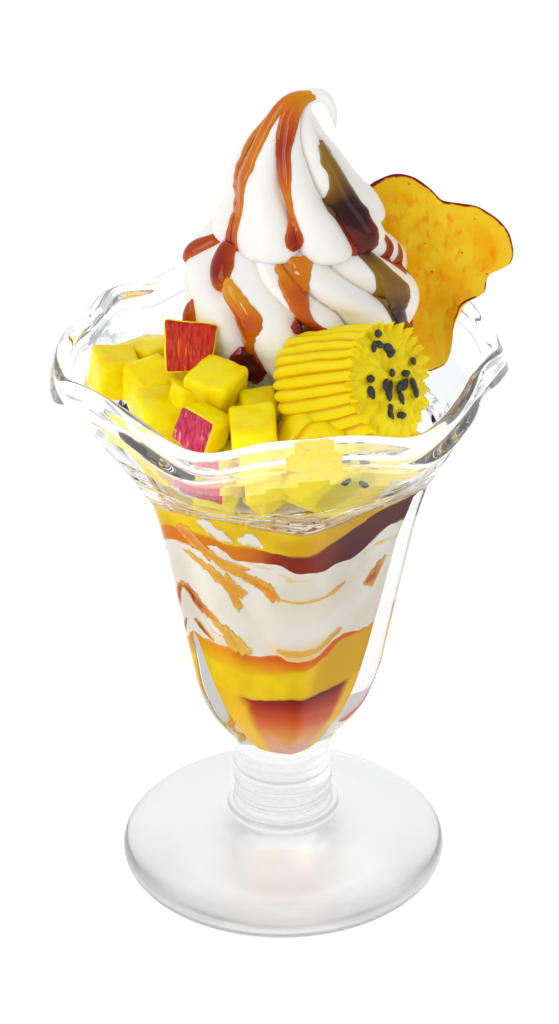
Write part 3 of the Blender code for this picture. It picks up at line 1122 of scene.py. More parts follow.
@dataclass(frozen=True)
class UpperCaramel:
    """The upper caramel band: dark red-brown toward +X, amber and thin toward -X."""

    dark: Colour = (0.11, 0.010, 0.012)
    red: Colour = (0.34, 0.030, 0.004)
    amber: Colour = (0.78, 0.22, 0.002)

    def material(self) -> bpy.types.Material:
        """Makes the material.

        Returns:
            The material.
        """
        finish = Finish("caramel_upper_look", 0.5, 0.0)
        shifted = finish.calc("ADD", finish.axis("X"), finish.uneven(7.0, 16.0))
        share = finish.calc("DIVIDE", finish.calc("ADD", shifted, 12.0), 28.0, True)
        stops = ((0.05, self.amber), (0.45, self.red), (0.85, self.dark))
        finish.set("Base Color", finish.ramp(share, stops))
        return finish.material


@dataclass
class WallStreaks:
    """Caramel streaks and soft serve patches pressed against the inside of the wall."""

    glass: SundaeGlass
    reach: float = 0.42
    bulge: float = 0.12
    # (direction, height, half height, depth of colour) along each
    caramel: tuple[Path, ...] = (
        ((208, 98.6, 1.0, 0.3), (216, 97.2, 2.8, 0.34), (224, 94.4, 2.4, 0.28), (234, 92.2, 1.6, 0.2),
         (244, 91.4, 1.0, 0.15), (254, 91.2, 0.3, 0.1)),
        ((206, 91.6, 0.5, 0.1), (214, 90.6, 1.1, 0.15), (224, 88.6, 1.6, 0.18), (233, 86.4, 2.0, 0.2),
         (240, 84.8, 2.9, 0.22), (246, 83.8, 1.6, 0.2), (251, 84.2, 0.3, 0.1)),
        ((236, 85.0, 0.3, 0.2), (239, 82.4, 1.9, 0.24), (243, 80.6, 2.2, 0.24), (247, 79.8, 0.3, 0.2)),
        ((234, 90.0, 0.3, 0.1), (243, 89.8, 1.3, 0.2), (253, 88.4, 1.5, 0.25), (262, 86.6, 2.0, 0.3),
         (268, 84.6, 2.1, 0.3), (273, 83.2, 0.4, 0.2)),
        ((272, 83.4, 0.2, 0.03), (281, 82.8, 0.35, 0.06), (292, 82.9, 0.35, 0.06), (301, 84.2, 0.8, 0.2),
         (307, 85.2, 0.3, 0.2)),
        ((325, 82.2, 0.3, 0.3), (329, 82.4, 1.6, 0.55), (337, 83.0, 2.8, 0.5), (344, 85.4, 1.6, 0.3),
         (348, 86.4, 0.3, 0.2)),
        ((190, 80.4, 0.8, 0.4), (198, 78.6, 2.2, 0.62), (207, 76.6, 2.2, 0.6), (215, 74.8, 1.6, 0.4),
         (224, 73.6, 0.5, 0.2)),
        ((218, 72.6, 0.5, 0.1), (226, 71.0, 2.2, 0.12), (234, 69.0, 3.2, 0.10), (243, 67.6, 2.2, 0.08),
         (250, 66.8, 0.4, 0.05)),
        ((192, 70.6, 0.6, 0.6), (200, 69.4, 1.3, 0.66), (208, 68.0, 0.9, 0.5), (214, 66.8, 0.3, 0.3)),
        ((270, 68.2, 0.3, 0.05), (280, 67.4, 0.9, 0.12), (291, 67.9, 0.9, 0.12), (303, 70.4, 1.1, 0.15),
         (310, 71.4, 0.4, 0.2)),
        ((20, 88.0, 0.3, 0.2), (32, 86.0, 1.5, 0.4), (44, 83.0, 1.0, 0.4), (54, 80.5, 0.3, 0.2)),
        ((95, 84.0, 0.3, 0.2), (110, 87.0, 1.2, 0.35), (124, 88.5, 1.6, 0.5), (136, 86.5, 0.4, 0.3)),
        ((150, 79.0, 0.3, 0.2), (165, 82.5, 1.6, 0.45), (178, 83.5, 1.0, 0.4), (188, 85.0, 0.4, 0.2)),
    )
    patches: tuple[Path, ...] = (
        ((226, 102.6, 0.4, 0.0), (232, 101.8, 2.3, 0.0), (239, 100.0, 1.8, 0.0), (246, 98.8, 0.4, 0.0)),
        ((249, 99.4, 0.4, 0.0), (254, 100.2, 1.8, 0.0), (259, 99.9, 1.7, 0.0), (263, 98.6, 0.4, 0.0)),
        ((229, 95.6, 0.3, 0.0), (235, 94.8, 1.4, 0.0), (241, 93.6, 1.1, 0.0), (246, 92.8, 0.2, 0.0)),
        ((208, 73.6, 0.3, 0.0), (214, 72.2, 1.5, 0.0), (221, 70.8, 1.4, 0.0), (227, 69.6, 0.3, 0.0)),
        ((120, 101.0, 0.4, 0.0), (127, 101.6, 1.6, 0.0), (134, 101.0, 0.4, 0.0)),
        ((60, 102.0, 0.4, 0.0), (68, 102.4, 1.5, 0.0), (77, 101.4, 0.3, 0.0)),
    )

    def add(self, body: Body, path: Path) -> None:
        """Adds one streak as a thin lens that follows the wall.

        Args:
            body: The mesh to add it to.
            path: Its path.
        """
        across = 6
        outer = [(1, j / across) for j in range(-across, across + 1)]
        inner = [(-1, j / across) for j in range(across - 1, -across, -1)]
        rings = []
        for direction, height, half, colour in along_path(path, 8):
            half = max(half, 0.05)
            angle = math.radians(direction)
            ring = []
            for side, share in outer + inner:
                spot = Vector((direction / 5, height / 3, 1.3 * share))
                ragged = half * (0.55 * lumps(spot, 1.0, half) + 0.35 * lumps(spot, 0.4, half))
                level = height + share * half + ragged
                depth = self.reach + side * self.bulge * math.sqrt(max(0.0, 1 - share * share))
                point = polar(self.glass.cavity_radius(angle, level) + depth, angle, level)
                ring.append((point, colour * (1 - 0.75 * abs(share) ** 1.5)))
            rings.append(ring)
        body.loft_samples(rings)

    def build(self) -> None:
        """Makes the caramel streaks and the soft serve patches."""
        pressed = CaramelSauce(thin=(0.88, 0.55, 0.06), amber=(0.80, 0.26, 0.0))
        for name, paths, material, slot in (
                ("caramel_streaks", self.caramel, pressed.material(), "caramel"),
                ("soft_serve_patches", self.patches, MarbledServe().material(), "soft_serve")):
            body = Body()
            for path in paths:
                self.add(body, path)
            register(body.make(name, [material]), slot)


class Wrap(Enum):
    """The two wraps of the swirl."""

    COIL = "coil"
    CONE = "cone"


@dataclass
class Swirl:
    """The soft serve: a grooved lower coil, and a twisted cone standing on it whose tip hooks over."""

    segments: int = 336
    softness: float = 0.62
    # (place along the axis, centre x, centre y, centre z, radius, depth of folds, lean toward +X)
    cone: Path = (
        (153.0, 4.8, 8.0, 154.6, 7.0, 0.0, 0), (155.0, 4.8, 8.0, 155.4, 11.5, 0.5, 0),
        (156.5, 4.8, 8.0, 156.7, 14.8, 1.1, 0), (158.0, 4.8, 8.0, 158.1, 16.9, 1.7, 0),
        (159.6, 4.8, 8.0, 159.6, 17.8, 2.1, 0), (162.6, 4.5, 8.0, 162.6, 17.0, 2.3, 0),
        (165.9, 4.2, 8.0, 165.9, 15.2, 2.3, 0), (169.2, 3.3, 8.0, 169.2, 13.2, 2.1, 0),
        (173.5, 2.5, 8.0, 173.5, 11.4, 1.8, 0), (177.0, 2.5, 8.0, 177.0, 9.4, 1.5, 0),
        (180.0, 2.5, 8.0, 180.0, 7.6, 1.2, 2), (183.0, 2.9, 8.0, 183.0, 5.9, 0.9, 6),
        (186.0, 3.6, 8.0, 185.9, 4.4, 0.6, 16), (188.5, 4.8, 8.0, 188.2, 3.0, 0.4, 38),
        (190.5, 6.5, 8.0, 189.4, 1.8, 0.2, 62), (192.5, 8.6, 8.0, 189.9, 1.4, 0.1, 88),
        (194.5, 10.4, 8.0, 189.2, 1.2, 0.0, 122), (196.5, 11.5, 8.0, 187.3, 1.0, 0.0, 152),
        (199.0, 12.1, 8.0, 184.9, 0.7, 0.0, 168), (201.5, 12.4, 8.0, 182.4, 0.12, 0.0, 172))
    coil: Path = (
        (105.6, 0.0, 0.0, 105.6, 25.6, 0.0, 0), (110.5, 0.0, 0.0, 110.5, 28.0, 0.3, 0),
        (115.5, 0.6, 1.2, 115.5, 28.6, 0.6, 0), (121.0, 2.4, 4.2, 121.0, 26.4, 1.0, 0),
        (127.0, 4.0, 7.2, 127.0, 23.6, 1.6, 0), (132.0, 4.5, 8.0, 132.0, 22.4, 2.1, 0),
        (137.0, 4.5, 8.0, 137.0, 22.8, 2.5, 0), (141.0, 4.6, 8.0, 141.0, 23.8, 2.7, 0),
        (144.7, 4.6, 8.0, 144.7, 24.1, 2.7, 0), (148.5, 4.2, 8.0, 148.5, 23.5, 2.6, 0),
        (151.8, 3.4, 8.0, 151.8, 22.2, 2.4, 0), (154.5, 3.2, 8.0, 154.5, 20.6, 2.2, 0),
        (157.0, 3.2, 8.0, 157.0, 18.4, 1.9, 0), (159.3, 3.2, 8.0, 159.3, 16.4, 1.4, 0),
        (161.0, 3.4, 8.0, 160.8, 13.4, 0.7, 0), (162.2, 3.6, 8.0, 161.8, 6.0, 0.0, 0))
    # Directions of the grooves at the reference place of each wrap
    cone_grooves: tuple[float, ...] = (40.0, 84.0, 126.0, 168.0, 211.0, 268.0, 311.0, 356.0)
    cone_reference: float = 162.0
    coil_grooves: tuple[float, ...] = (5.0, 48.0, 92.0, 138.0, 184.0, 229.0, 269.0, 292.0, 323.0)
    coil_reference: float = 148.0
    # Degrees that the grooves turn over a millimetre. Past tip_from the cone's turn also grows with the
    # square of the way; coil_depth below its reference the coil's grooves turn no further
    cone_twist: float = -0.9
    tip_twist: float = -0.05
    tip_from: float = 184.0
    coil_twist: float = -1.3
    coil_depth: float = 30.0
    coil_top_twist: float = -3.0
    # Below hollow_top the coil is cut back by a share of its radius where the toppings lie against it
    hollow: float = 0.3
    hollow_top: float = 134.0
    hollow_fade: float = 12.0
    hollow_bottom: float = 104.6
    hollow_direction: float = 255.0

    def table(self, wrap: Wrap) -> Path:
        """The stations of a wrap."""
        return self.cone if wrap is Wrap.CONE else self.coil

    def groove_turn(self, wrap: Wrap, place: float) -> float:
        """How far the grooves have turned at a place from where they are at the reference.

        Args:
            wrap: Which wrap.
            place: The place along its axis.

        Returns:
            The turn in degrees.
        """
        if wrap is Wrap.CONE:
            tip = max(0.0, place - self.tip_from)
            return self.cone_twist * (place - self.cone_reference) + self.tip_twist * tip ** 2
        above = max(0.0, place - self.coil_reference)
        below = min(0.0, place - self.coil_reference)
        return self.coil_twist * max(below, -self.coil_depth) + self.coil_top_twist * above

    def fold(self, wrap: Wrap, direction: float, place: float) -> float:
        """How far between groove (0) and ridge (1) a direction lies.

        Args:
            wrap: Which wrap.
            direction: The direction round the axis, in degrees.
            place: The place along its axis.

        Returns:
            The fold, from 0 to 1.
        """
        grooves = self.cone_grooves if wrap is Wrap.CONE else self.coil_grooves
        turned = (direction - self.groove_turn(wrap, place)) % 360
        ahead = next((i for i, groove in enumerate(grooves) if groove > turned), 0)
        high, low = grooves[ahead], grooves[ahead - 1]
        width = (high - low) % 360
        share = ((turned - low) % 360) / width
        return math.sin(math.pi * share) ** self.softness

    def point(self, wrap: Wrap, direction: float, place: float) -> Sample:
        """A point of a wrap's surface.

        Args:
            wrap: Which wrap.
            direction: The direction round its axis, in degrees.
            place: The place along its axis.

        Returns:
            The point, and how far it is between groove (0) and ridge (1).
        """
        table = self.table(wrap)
        x, y, z, radius, depth, lean = (smooth_value(table, place, column) for column in range(1, 7))
        fold = self.fold(wrap, direction, place)
        angle, tilt = math.radians(direction), math.radians(lean)
        reach = max(0.05, radius + depth * (2 * fold - 1.15))
        hollow = limit((self.hollow_top - z) / self.hollow_fade) * limit((z - self.hollow_bottom) / 3.0)
        toward = math.cos(math.radians(direction - self.hollow_direction))
        reach *= 1 - self.hollow * hollow * max(0.0, toward) ** 0.7
        across, sideways = reach * math.cos(angle), reach * math.sin(angle)
        offset = Vector((across * math.cos(tilt), sideways, -across * math.sin(tilt)))
        point = Vector((x, y, z)) + offset
        swell = 0.35 * lumps(point, 9.0, 3.0) * min(1.0, radius / 8)
        return point + offset.normalized() * swell, fold

    def normal(self, wrap: Wrap, direction: float, place: float) -> Vector:
        """The outward normal of a wrap's surface.

        Args:
            wrap: Which wrap.
            direction: The direction round the axis, in degrees.
            place: The place along its axis.

        Returns:
            The normal.
        """
        around = self.point(wrap, direction + 1.5, place)[0] - self.point(wrap, direction - 1.5, place)[0]
        along = self.point(wrap, direction, place + 0.4)[0] - self.point(wrap, direction, place - 0.4)[0]
        return around.cross(along).normalized()

    def rings(self, wrap: Wrap, step: float) -> list[list[Sample]]:
        """Rings of a wrap, a step apart, with the fold at each point.

        Args:
            wrap: Which wrap.
            step: How far apart the rings are along the axis.

        Returns:
            The rings, bottom to top.
        """
        table = self.table(wrap)
        count = round((table[-1][0] - table[0][0]) / step)
        places = [mix(table[0][0], table[-1][0], i / count) for i in range(count + 1)]
        return [[self.point(wrap, 360 * j / self.segments, place) for j in range(self.segments)]
                for place in places]

    def build(self) -> None:
        """Makes both wraps as one piece."""
        body = Body()
        for wrap, step in ((Wrap.COIL, 0.45), (Wrap.CONE, 0.35)):
            body.loft_samples(self.rings(wrap, step))
        register(body.make("soft_serve_twist", [SoftServe().material()]), "soft_serve", "soft_serve_swirl")


@dataclass(frozen=True)
class SauceRun:
    """A run of sauce on a wrap of the swirl.

    Its path holds (direction, place along the axis, half width, depth of colour).
    """

    wrap: Wrap
    path: Path
    thickness: float = 0.9


@dataclass
class Sauce:
    """Caramel sauce run down the swirl from its tip, with drops at its edges."""

    swirl: Swirl
    # How deep its underside and its edges are sunk, how much the edges waver and lose their colour, and
    # how high it stands over the line that spans a groove
    sunk: float = 0.5
    edge_sunk: float = 0.06
    edge_waver: float = 0.12
    edge_fade: float = 0.45
    span_height: float = 0.35
    runs: tuple[SauceRun, ...] = (
        SauceRun(Wrap.CONE, (
            (228, 191.5, 0.5, 0.05), (212, 189.5, 1.2, 0.12), (204, 186.6, 1.8, 0.25),
            (203, 183.6, 2.3, 0.25), (202, 180.8, 3.0, 0.22), (204, 178.0, 3.4, 0.22),
            (207, 175.2, 3.4, 0.25), (208, 172.4, 3.2, 0.28), (209, 169.6, 2.8, 0.28),
            (210, 166.8, 2.4, 0.26), (211, 164.0, 2.1, 0.3), (212, 161.4, 2.2, 0.42),
            (215, 159.0, 2.8, 0.62), (216, 157.4, 1.2, 0.66))),
        SauceRun(Wrap.COIL, (
            (217, 159.6, 2.2, 0.55), (219, 157.6, 3.0, 0.62), (220, 155.8, 3.8, 0.66),
            (221, 154.0, 3.8, 0.6), (222, 152.4, 2.6, 0.45), (223, 151.0, 0.8, 0.3)), 1.4),
        SauceRun(Wrap.COIL, (
            (230, 155.0, 1.0, 0.02), (235, 153.0, 2.4, 0.02), (238, 151.0, 3.8, 0.12),
            (241, 148.8, 4.4, 0.32), (242, 146.6, 4.0, 0.44), (241, 144.4, 3.3, 0.36),
            (241, 142.0, 2.4, 0.26), (241, 139.6, 1.7, 0.30), (241, 136.4, 1.3, 0.40))),
        SauceRun(Wrap.COIL, (
            (238, 139.4, 1.2, 0.8), (239, 137.2, 3.2, 0.92), (240, 134.8, 3.4, 0.92),
            (242, 132.2, 2.4, 0.8), (243, 130.4, 0.5, 0.7)), 1.3),
        SauceRun(Wrap.CONE, (
            (262, 192.0, 0.5, 0.05), (254, 189.4, 1.4, 0.15), (255, 186.4, 2.0, 0.32),
            (257, 183.6, 2.1, 0.48), (258, 181.0, 1.8, 0.58), (261, 178.4, 1.7, 0.50),
            (263, 176.0, 1.6, 0.36), (265, 173.6, 1.3, 0.26), (266, 171.4, 1.0, 0.22),
            (266, 168.6, 0.9, 0.24), (266, 166.2, 1.3, 0.4), (266, 163.8, 2.0, 0.62),
            (266, 162.0, 1.7, 0.62), (266, 161.0, 0.5, 0.5))),
        SauceRun(Wrap.CONE, (
            (331, 180.6, 1.6, 1.7), (330, 177.6, 2.9, 1.65), (329, 174.4, 3, 1.55),
            (326, 171.8, 3.6, 1.4), (321, 169.4, 4.1, 1.2), (319, 167.2, 4.1, 1.05),
            (319, 165, 3.6, 0.98), (320, 162.8, 3.5, 0.92), (320, 160.4, 3.2, 0.86),
            (319, 158, 3.2, 0.78), (319, 156.6, 1, 0.75))),
        SauceRun(Wrap.COIL, (
            (322, 160.4, 2.2, 0.8), (325, 158.2, 2.4, 1.1), (327, 156.0, 2.5, 1.45),
            (328, 153.4, 2.8, 1.6), (329, 151.0, 3.6, 1.6), (330, 148.6, 4.2, 1.5),
            (331, 146.2, 3.4, 1.35), (332, 143.6, 2.2, 1.15), (335, 140.6, 2.6, 1.0),
            (340, 137.6, 3.6, 0.95), (345, 134.8, 2.8, 0.9), (347, 133.0, 0.6, 0.8))),
        SauceRun(Wrap.COIL, (
            (272, 159.6, 4.2, 0.16), (270, 157.6, 3.8, 0.20), (270, 156.0, 3.1, 0.24),
            (271, 154.2, 2.8, 0.30), (272, 152.4, 2.4, 0.32), (272, 150.6, 2.0, 0.34),
            (273, 148.6, 1.9, 0.5), (274, 147.0, 3.4, 0.86), (277, 145.4, 4.6, 0.95),
            (279, 144.0, 3.6, 0.9), (279, 143.0, 0.8, 0.8)), 0.8),
        SauceRun(Wrap.COIL, (
            (198, 160.0, 0.5, 0.4), (193, 158.4, 1.6, 0.45), (189, 156.4, 2.4, 0.5),
            (186, 154.4, 2.6, 0.55), (184, 152.6, 2.0, 0.55), (184, 151.4, 0.5, 0.5)), 1.4),
        SauceRun(Wrap.COIL, (
            (207, 147.4, 0.3, 0.45), (206, 145.2, 1.6, 0.5), (205, 142.6, 2.5, 0.56),
            (205, 140.2, 2.7, 0.6), (205, 138.2, 0.6, 0.5)), 3.2),
        SauceRun(Wrap.COIL, (
            (358, 157.5, 0.7, 0.5), (356, 155.5, 1.1, 0.6), (353, 153.5, 1.3, 0.62),
            (350, 151.5, 0.9, 0.55), (348, 150.0, 0.4, 0.4)), 0.9),
        SauceRun(Wrap.COIL, (
            (6, 153.5, 0.5, 0.4), (4, 151.5, 1.2, 0.55), (2, 149.3, 1.5, 0.62), (1, 147.6, 1.1, 0.6),
            (0, 146.6, 0.4, 0.5)), 1.2),
        SauceRun(Wrap.COIL, (
            (352, 137.6, 0.6, 0.6), (354, 135.4, 1.8, 0.66), (355, 133.0, 1.6, 0.66),
            (356, 131.2, 0.4, 0.5)), 1.6),
        SauceRun(Wrap.CONE, (
            (120, 184.0, 0.5, 0.1), (116, 181.0, 1.6, 0.25), (112, 177.0, 2.0, 0.3),
            (114, 172.0, 1.6, 0.35), (118, 168.0, 1.3, 0.4), (120, 165.0, 1.9, 0.62),
            (120, 163.4, 0.6, 0.5))),
        SauceRun(Wrap.CONE, (
            (66, 180.0, 0.5, 0.2), (62, 176.0, 1.7, 0.32), (58, 171.0, 2.2, 0.42), (60, 166.0, 1.6, 0.6),
            (62, 162.0, 1.2, 0.6), (62, 160.0, 0.4, 0.5))),
    )

    def add(self, body: Body, run: SauceRun) -> None:
        """Adds one run as a domed strip that follows the swirl's surface.

        Args:
            body: The mesh to add it to.
            run: The run.
        """
        across = 8
        table = self.swirl.table(run.wrap)
        rings, values = [], []
        for direction, place, half, colour in along_path(run.path, 9):
            half = max(0.1, half)
            rise = min(run.thickness, max(0.5, 0.32 * run.thickness) * half)
            spread = math.degrees(half / max(1.2, smooth_value(table, place, 4)))
            ring, shades = [], []
            for j in range(-across, across + 1):
                share = j / across
                ragged = share + self.edge_waver * lumps(Vector((place, 0, j // across)), 2.2, half)
                dome = math.sqrt(max(0.0, 1 - share * share))
                height = rise * dome - self.edge_sunk
                ring.append(self.lifted(run.wrap, direction + spread * ragged, place, height))
                fade = mix(self.edge_fade, 1.0, dome)
                shades.append(colour * fade if colour <= 1 else 2 - (2 - colour) * fade)
            for j in range(across - 1, -across, -1):
                ring.append(self.lifted(run.wrap, direction + spread * j / across, place, -self.sunk))
                shades.append(colour)
            middle = Vector([smooth_value(table, place, column) for column in range(1, 4)])
            rings.append(self.bridged(ring, 2 * across + 1, middle))
            values.append(shades)
        body.loft(rings[::-1], values[::-1])

    def lifted(self, wrap: Wrap, direction: float, place: float, height: float) -> Vector:
        """A point at a height over a wrap's surface."""
        base, _ = self.swirl.point(wrap, direction, place)
        return base + self.swirl.normal(wrap, direction, place) * height

    def bridged(self, ring: Ring, count: int, middle: Vector) -> Ring:
        """Lifts the upper points of a ring so that they span a groove instead of following it down.

        Args:
            ring: The ring, its upper points first.
            count: How many upper points it has.
            middle: The middle of the swirl beside it.

        Returns:
            The ring.
        """
        first, last = ring[0], ring[count - 1]
        for i in range(1, count - 1):
            chord = first.lerp(last, i / (count - 1))
            shortfall = (chord - middle).length + self.span_height - (ring[i] - middle).length
            if shortfall > 0:
                ring[i] = ring[i] + (ring[i] - middle).normalized() * shortfall
        return ring

    def build(self) -> None:
        """Makes all the sauce as one piece."""
        body = Body()
        for run in self.runs:
            self.add(body, run)
        register(body.make("caramel_runs", [CaramelSauce().material()]), "caramel")


@dataclass
class PipedCream:
    """A ribbed strand of piped cream with a ragged cut end, a fold at its foot and a soft mass below it."""

    glass: SundaeGlass
    start: Vector = Vector((4.5, -16.5, 132.0))
    end: Vector = Vector((22.6, -27.0, 140.4))
    radius: float = 11.9
    sag: float = 7.0
    shear: float = 0.25
    ribs: int = 27
    rib_depth: float = 0.55
    # Shares of its length: over the first the strand swells from its blunt start, past the second it is torn
    blunt_share: float = 0.2
    cut_share: float = 0.9
    taper: float = 0.13
    tear: float = 1.5
    segments: int = 310
    rings: int = 70
    face_rings: int = 16
    fold_middle: Vector = Vector((9.0, -30.0, 121.5))
    apron_middle: Vector = Vector((17.0, -25.0, 117.4))
    apron_half: Vector = Vector((18.5, 12.0, 9.4))
    clearance: float = 0.8

    def __post_init__(self) -> None:
        """Works out the strand's own directions."""
        self.axis = (self.end - self.start).normalized()
        self.side = self.axis.cross(Vector((0, 0, 1))).normalized()
        self.up = self.side.cross(self.axis)

    def rib(self, angle: float, place: float) -> float:
        """How far between groove (0) and rib (1) a direction is, with ribs that wander a little."""
        wander = 0.35 * lumps(Vector((place * 2.0, 3 * math.cos(angle), 3 * math.sin(angle))), 1.0, 5.0)
        return abs(math.cos(self.ribs * angle / 2 + wander)) ** 0.8

    def section(self, share: float) -> list[Sample]:
        """A ring of the strand at a share of its length, with the rib at each point.

        Args:
            share: The share of its length.

        Returns:
            The ring.
        """
        closing = 1 - min(1.0, 0.02 + share / self.blunt_share)
        swell = (1 - closing ** 3) ** (1 / 3) * (1 + 0.06 * max(0.0, (share - 0.94) / 0.06))
        ring = []
        for angle in ring_angles(self.segments):
            across, upward = math.cos(angle), math.sin(angle)
            rib = self.rib(angle, share)
            uneven = 0.5 * lumps(Vector((3 * across, 3 * upward, 4 * share)), 1.0, 9.0)
            radius = swell * (self.radius + self.rib_depth * (2 * rib - 1) + uneven)
            radius *= 1 - self.taper * share ** 3
            lowering = self.sag * swell * (1 - 0.4 * share) * max(0.0, -upward) ** 2
            ragged = -1.3 * rib * max(0.0, 1 - share / 0.16) - self.shear * share ** 2 * radius * across
            if share > self.cut_share:
                edge = Vector((9 * across, 9 * upward, 0))
                torn = lumps(edge, 1.0) + 0.8 * lumps(edge, 0.45, 2.0) + rib - 0.5
                ragged += self.tear * (share - self.cut_share) / 0.1 * torn
            point = (self.start.lerp(self.end, share) + self.side * radius * across
                     + self.up * radius * upward - Vector((0, 0, lowering)) + self.axis * ragged)
            ring.append((point, rib))
        return ring

    def face_point(self, across: float, upward: float) -> Vector:
        """A point of the cut face, in millimetres from its middle.

        Args:
            across: How far it is to the side.
            upward: How far up it is.

        Returns:
            The point.
        """
        flat = self.end + self.side * across + self.up * upward
        dome = 1.2 * (1 - (math.hypot(across, upward) / 13) ** 2)
        bulge = 1.4 * lumps(flat, 3.2, 11.0) + 0.8 * lumps(flat, 1.3, 12.0) + dome
        return flat + self.axis * (bulge - self.shear * across)

    def strand(self) -> list[list[Sample]]:
        """Rings of the main strand, its end closed by the lumpy cut face.

        Returns:
            The rings, from its start to the middle of the face.
        """
        rings = [self.section(step / self.rings) for step in range(self.rings + 1)]
        rim = [point - self.end for point, _ in rings[-1]]
        for step in range(1, self.face_rings):
            share = 1 - step / self.face_rings
            blend = max(0.0, share - 0.75) * 3
            ring = []
            for flat in rim:
                across, upward = share * flat.dot(self.side), share * flat.dot(self.up)
                ring.append((self.face_point(across, upward).lerp(self.end + flat * share, blend), 0.75))
            rings.append(ring)
        return rings

    def fold(self) -> list[list[Sample]]:
        """Rings of the fold in front, its ribs arching one inside the other.

        Returns:
            The rings, from its edge to its middle.
        """
        rows, segments = 60, 150
        rings = []
        for step in range(rows):
            share = 1 - step / rows
            dome = math.sqrt(max(0.0, 1 - share ** 2.4))
            ring = []
            for angle in ring_angles(segments):
                height = 14.0 if math.sin(angle) > 0 else 9.0
                flat = Vector((11.0 * share * math.cos(angle), 0.0, height * share * math.sin(angle)))
                wander = 0.5 * lumps(flat, 6.0, 6.0)
                rib = abs(math.cos(math.pi * (4.6 * share + wander))) ** 0.8
                rib = mix(0.85, rib, limit(2.2 * share - 0.6) * limit(0.4 + flat.z / 9))
                flat.y = 1.8 - 8.4 * dome - 1.3 * rib * dome ** 0.5 + 0.3 * lumps(flat, 2.0, 8.0)
                ring.append((self.pressed(self.fold_middle + flat + Vector((0, 0.2 * flat.z, 0))), rib))
            rings.append(ring)
        return rings

    def pressed(self, point: Vector) -> Vector:
        """A point kept just inside the glass.

        Args:
            point: The point.

        Returns:
            The point, moved in where the glass is in its way.
        """
        room = self.glass.inner_radius(math.atan2(point.y, point.x), point.z) - self.clearance
        share = min(1.0, room / math.hypot(point.x, point.y))
        return Vector((point.x * share, point.y * share, point.z))

    def apron(self) -> list[list[Sample]]:
        """Rings of the soft mass below the fold, pressed against the glass.

        Returns:
            The rings, bottom to top.
        """
        rings = []
        for tilt, aims in ball_rings(40, 120):
            ring = []
            for aim in aims:
                rib = abs(math.cos(13 * tilt + 2 * aim.x)) ** 0.8
                reach = 1 + 0.06 * lumps(aim, 0.5, 14.0) + 0.07 * rib * max(0.0, -aim.x)
                offset = Vector([size * part * reach for size, part in zip(self.apron_half, aim)])
                ring.append((self.pressed(self.apron_middle + offset), mix(0.6, rib, 0.5)))
            rings.append(ring)
        return rings

    def build(self) -> None:
        """Makes the strand, its fold and the soft mass as one piece."""
        body = Body()
        for rings in (self.strand(), self.fold(), self.apron()):
            body.loft_samples(rings)
        register(body.make("cream_strand", [PipedPaste().material()], 60.0), "piped_cream", "piped_cream")


@dataclass
class SesameSeeds:
    """Black sesame seeds on the cut face of the cream, and three loose against the glass."""

    cream: PipedCream
    length: float = 3.5
    width: float = 1.95
    thickness: float = 0.9
    # Half the width, grown so that the drop's broadest ring is as wide as the seed
    half: float = 0.62
    steps: int = 10
    segments: int = 12
    # (across, up, turn in degrees) on the face
    places: Path = (
        (-0.2, 9.6, 209), (2.4, 7.6, 128), (0.5, 7.4, 220), (-1.4, 5.8, 213), (-2.1, 4.2, 182),
        (-7.3, -0.1, 190), (0.5, 0.7, 202), (-3.9, -1.4, 194), (5.2, 1.7, 213), (6.1, -0.9, 263),
        (2.9, -0.8, 153), (0.8, -2.2, 129), (-0.9, -3.3, 141), (-2.7, -3.5, 153), (-4.8, -4.3, 275),
        (-4.4, -6.2, 153), (2.9, -6.2, 153), (2.9, -7.8, 247), (0.5, -9.1, 202), (0.0, -5.3, 269),
        (2.6, -3.0, 282))
    # (x, y, z, turn in degrees) of the loose seeds
    loose: Path = (
        (13.6, -36.4, 121.6, 60), (17.4, -35.6, 120.6, 120), (19.8, -35.0, 127.6, 10))

    def add(self, body: Body, middle: Vector, face: Matrix, turn: float, draw: random.Random) -> None:
        """Adds one drop-shaped seed lying on a face.

        Args:
            body: The mesh to add it to.
            middle: Where the seed lies.
            face: The directions of the face: across, up and outward.
            turn: Its turn on the face, in degrees.
            draw: The source of its small differences.
        """
        grow = draw.uniform(0.88, 1.1)
        tilt = Euler((draw.uniform(-0.35, 0.35), draw.uniform(-0.25, 0.25), math.radians(turn))).to_matrix()
        rings = []
        for step in range(1, self.steps):
            along = step / self.steps
            girth = math.sin(math.pi * along) ** 0.75 * (1 - 0.42 * along)
            ring = []
            for angle in ring_angles(self.segments):
                aside, upward = self.half * self.width, self.half * self.thickness
                local = Vector(((along - 0.45) * self.length, aside * girth * math.cos(angle),
                                upward * girth * math.sin(angle)))
                ring.append(middle + face @ (tilt @ (local * grow)))
            rings.append(ring)
        body.loft(rings)

    def build(self) -> None:
        """Makes all the seeds as one piece."""
        body = Body()
        draw = random.Random(7)
        face = Matrix((self.cream.side, self.cream.up, self.cream.axis)).transposed()
        for across, upward, turn in self.places:
            middle = self.cream.face_point(across, upward) + self.cream.axis * 0.45
            self.add(body, middle, face, turn, draw)
        wall = Matrix((Vector((1, 0, 0)), Vector((0, 0.5, 0.87)), Vector((0, -0.87, 0.5)))).transposed()
        for x, y, z, turn in self.loose:
            self.add(body, Vector((x, y, z)), wall, turn, draw)
        register(body.make("sesame_seeds", [BlackSesame().material()]), "piped_cream")


